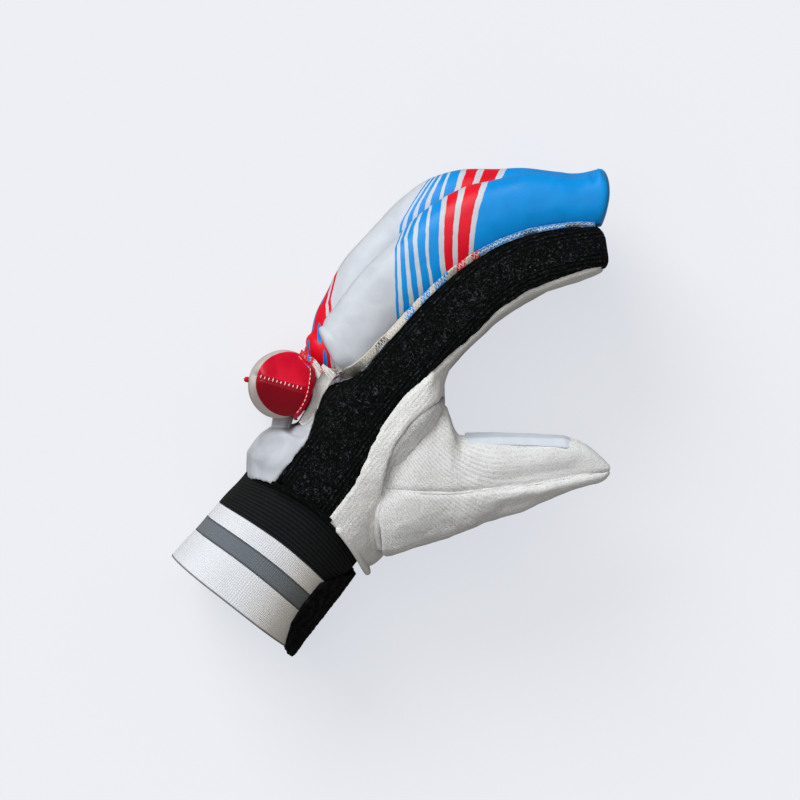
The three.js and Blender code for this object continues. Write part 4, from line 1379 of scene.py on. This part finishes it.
def edge_spot(k, share):
    """A place 1.1 mm over the strip, by its row and its share across."""
    place = inner_path[k] + (edge_path[k] - inner_path[k]) * share
    return dropped(over_hand([place]), on_edge)[0] + np.array((0, 0, 0.0011))


zigzag = []
for k in range(6, 392, 5):
    wide = 0.28 if k > 250 else 0.12
    zigzag.append((edge_spot(k, wide), edge_spot(k + 3, 1 - wide)))
    zigzag.append((edge_spot(k + 3, 1 - wide), edge_spot(k + 5, wide)))
stitches("edge_zigzag", zigzag, 0.17, white_thread)
print("edge stitches:", len(zigzag))

# %% Piping, flap, web and stitches of the bar
piping = np.array([(39.0, 57.0, z) for z in np.linspace(3, 91.5, 40)])
tube("bar_piping", on_hand(*piping.T), 1.3, red_coat)
FOLD_IN = ((28, 34.5), (30, 32), (32.5, 28))
FOLD_OUT = ((34.8, 38), (37, 34.6), (39.5, 30.5))
strip("bar_fold", FOLD_IN, FOLD_OUT, tree_from(back), 0, white_coat, 1.6, fall=3)
FLAP_IN = ((61.6, 42.2), (60, 38.4), (55.8, 34.6), (49.3, 31), (43.4, 29.6), (37.6, 30.2))
FLAP_OUT = ((62.2, 38.6), (58.8, 33.4), (52.6, 30), (47.6, 28), (41, 27.4), (36.4, 28.6))
bar_trees = tree_from(stuffed_bar, back, rolls[3], rolls[2])
strip("bar_flap", FLAP_IN, FLAP_OUT, bar_trees, 0.4, red_coat, 0.9, fall=2.6)
WEB_IN = ((64.5, 33.5), (60.5, 33.6), (57.5, 31.8), (52.2, 29.4), (47.6, 27.4), (41.5, 26.6), (37.6, 26.2))
WEB_OUT = ((64.6, 25.6), (60.5, 25.2), (57, 24.9), (53, 24.5), (46.4, 22.6), (41, 22.2), (37, 23.8))
web_trees = tree_from(stuffed_bar, back, side_wall)
strip("side_web", WEB_IN, WEB_OUT, web_trees, 0.3, cotton, 0.9, least=86.6)
flap_in, flap_out = smooth_path(FLAP_IN, 60), smooth_path(FLAP_OUT, 60)
on_flap = tree_from(bpy.data.objects["bar_flap"], stuffed_bar)
flap_line = dropped(over_hand(flap_in * 0.75 + flap_out * 0.25), on_flap)
flap_line[:, 2] += 0.0009
stitches("bar_flap_stitches", [(flap_line[k], flap_line[k + 3]) for k in range(2, 54, 4)], 0.2, white_thread)
cap_tree = tree_from(stuffed_bar)
ticks = []
for k, share in enumerate(np.linspace(0.17, 0.9, 11)):
    middle = SEAM_FROM + (SEAM_TO - SEAM_FROM) * share
    way = np.array([SEAM_WAY[1], -SEAM_WAY[0]]) * (1.0 if k % 3 else 1.3)
    ends = dropped(over_hand([middle - way, middle + way * 0.35]), cap_tree)
    ends[:, 2] += 0.0004
    ticks.append((ends[0], ends[1]))
stitches("bar_seam_stitches", ticks, 0.26, white_thread)

# %% Printed tab and loose threads between the bar and the rolls
TAB_TOP = ((63.6, 45.4), (63.6, 41.5), (63.8, 37.5), (62.4, 31.4))
TAB_FOOT = ((60.4, 44.6), (59.6, 40.4), (59, 36), (57.6, 31))
tab_trees = tree_from(stuffed_bar, back, rolls[3], rolls[2], bpy.data.objects["bar_flap"])
strip("printed_tab", TAB_TOP, TAB_FOOT, tab_trees, 0.6, tab_coat, 0.6, fall=2.5, least=88.5)
loose = (
    ((63.2, 33.5, 0), (62.1, 30.5, 2.5), (61.2, 26.4, 3), (60.4, 22.4, 2)),
    ((63.8, 31, 0), (62.6, 27.6, 2), (62.2, 25, 3.4), (61.4, 23.6, 3)),
    ((64.5, 30.4, 0), (64, 27, 3), (66, 25.5, 3.5), (68, 23.8, 1)),
    ((62.6, 38, 0), (62.4, 35, 2.4), (61.2, 33, 2.6), (62, 30, 1)),
)
thread_trees = tree_from(back, side_wall, rolls[2], rolls[3])
thread_trees += tree_from(*(bpy.data.objects[name] for name in ("roll_edge", "side_web", "printed_tab")))
for k, bends in enumerate(loose):
    run = smooth_path(bends, 16)
    spots = dropped(over_hand(run[:, :2]), thread_trees)
    spots[:, 2] += (run[:, 2] + 0.5) / 1000
    tube(f"loose_thread_{k + 1}", spots, 0.2, white_thread, sides=6)

# %% [markdown]
# ## Stage, light and camera
# The glove lies on a plain pale table. A large soft light stands over its upper left, as in the
# photograph, and the pale surroundings fill the shadows. What the camera sees of the table glows a
# little, so that it is nearly white but still takes a shadow. The camera looks straight down from
# two metres with a long lens.

# %% The table
def table():
    bm = bmesh.new()
    bmesh.ops.create_grid(bm, x_segments=1, y_segments=1, size=3)
    mesh = bpy.data.meshes.new("table")
    bm.to_mesh(mesh)
    bm.free()
    piece = bpy.data.objects.new("table", mesh)
    scene.collection.objects.link(piece)
    glow = (0.607, 0.634, 0.685, 1)
    material, tree, shader = finish_of("pale lit table", 0, Roughness=0.9, Emission_Color=glow)
    shader.inputs["Base Color"].default_value = linear("#8c8782")
    seen = add(tree, "LightPath").outputs["Is Camera Ray"]
    tree.links.new(seen, shader.inputs["Emission Strength"])
    mesh.materials.append(material)
    return piece


table()

# %% Light and camera
UP = math.radians(38)
RIGHT = Vector((math.cos(UP), math.sin(UP), 0))
PHOTO_UP = Vector((-math.sin(UP), math.cos(UP), 0))
VIEW = Vector(((heel[0] + 2.767) / 1000, (heel[1] + 73.368) / 1000, 0.085))


def sun(name, tilt, turn, strength, soft, colour):
    """Light from far away: tilt from straight above, turn from the photograph's right, in degrees."""
    data = bpy.data.lights.new(name, "SUN")
    data.energy, data.angle, data.color = strength, math.radians(soft), linear(colour)[:3]
    light = bpy.data.objects.new(name, data)
    scene.collection.objects.link(light)
    lean, way = math.radians(tilt), math.radians(turn)
    level = RIGHT * math.cos(way) + PHOTO_UP * math.sin(way)
    toward = level * math.sin(lean) + Vector((0, 0, math.cos(lean)))
    light.rotation_euler = toward.to_track_quat("Z", "Y").to_euler()
    return light


sun("window", 52, 122, 2.5, 36, "#f6f9ff")
sun("ceiling", 14, 130, 0.6, 40, "#ffffff")
world = bpy.data.worlds.new("pale room")
scene.world = world
world.use_nodes = True
world.node_tree.nodes["Background"].inputs["Color"].default_value = linear("#fbfbfd")
world.node_tree.nodes["Background"].inputs["Strength"].default_value = 0.3
scene.view_settings.view_transform = "Standard"

lens = bpy.data.cameras.new("camera")
camera = bpy.data.objects.new("camera", lens)
scene.collection.objects.link(camera)
camera.location = VIEW + Vector((0, 0, 2.0))
camera.rotation_euler = (0, 0, UP)
lens.sensor_width = 36
lens.lens = 36 * 2000 / 368
scene.camera = camera
print("camera stands", round(camera.location.z, 3), "m over the table")

# %% Rounded corners of a box
def corners(box):
    return [[round(value, 6) for value in corner] for corner in box]
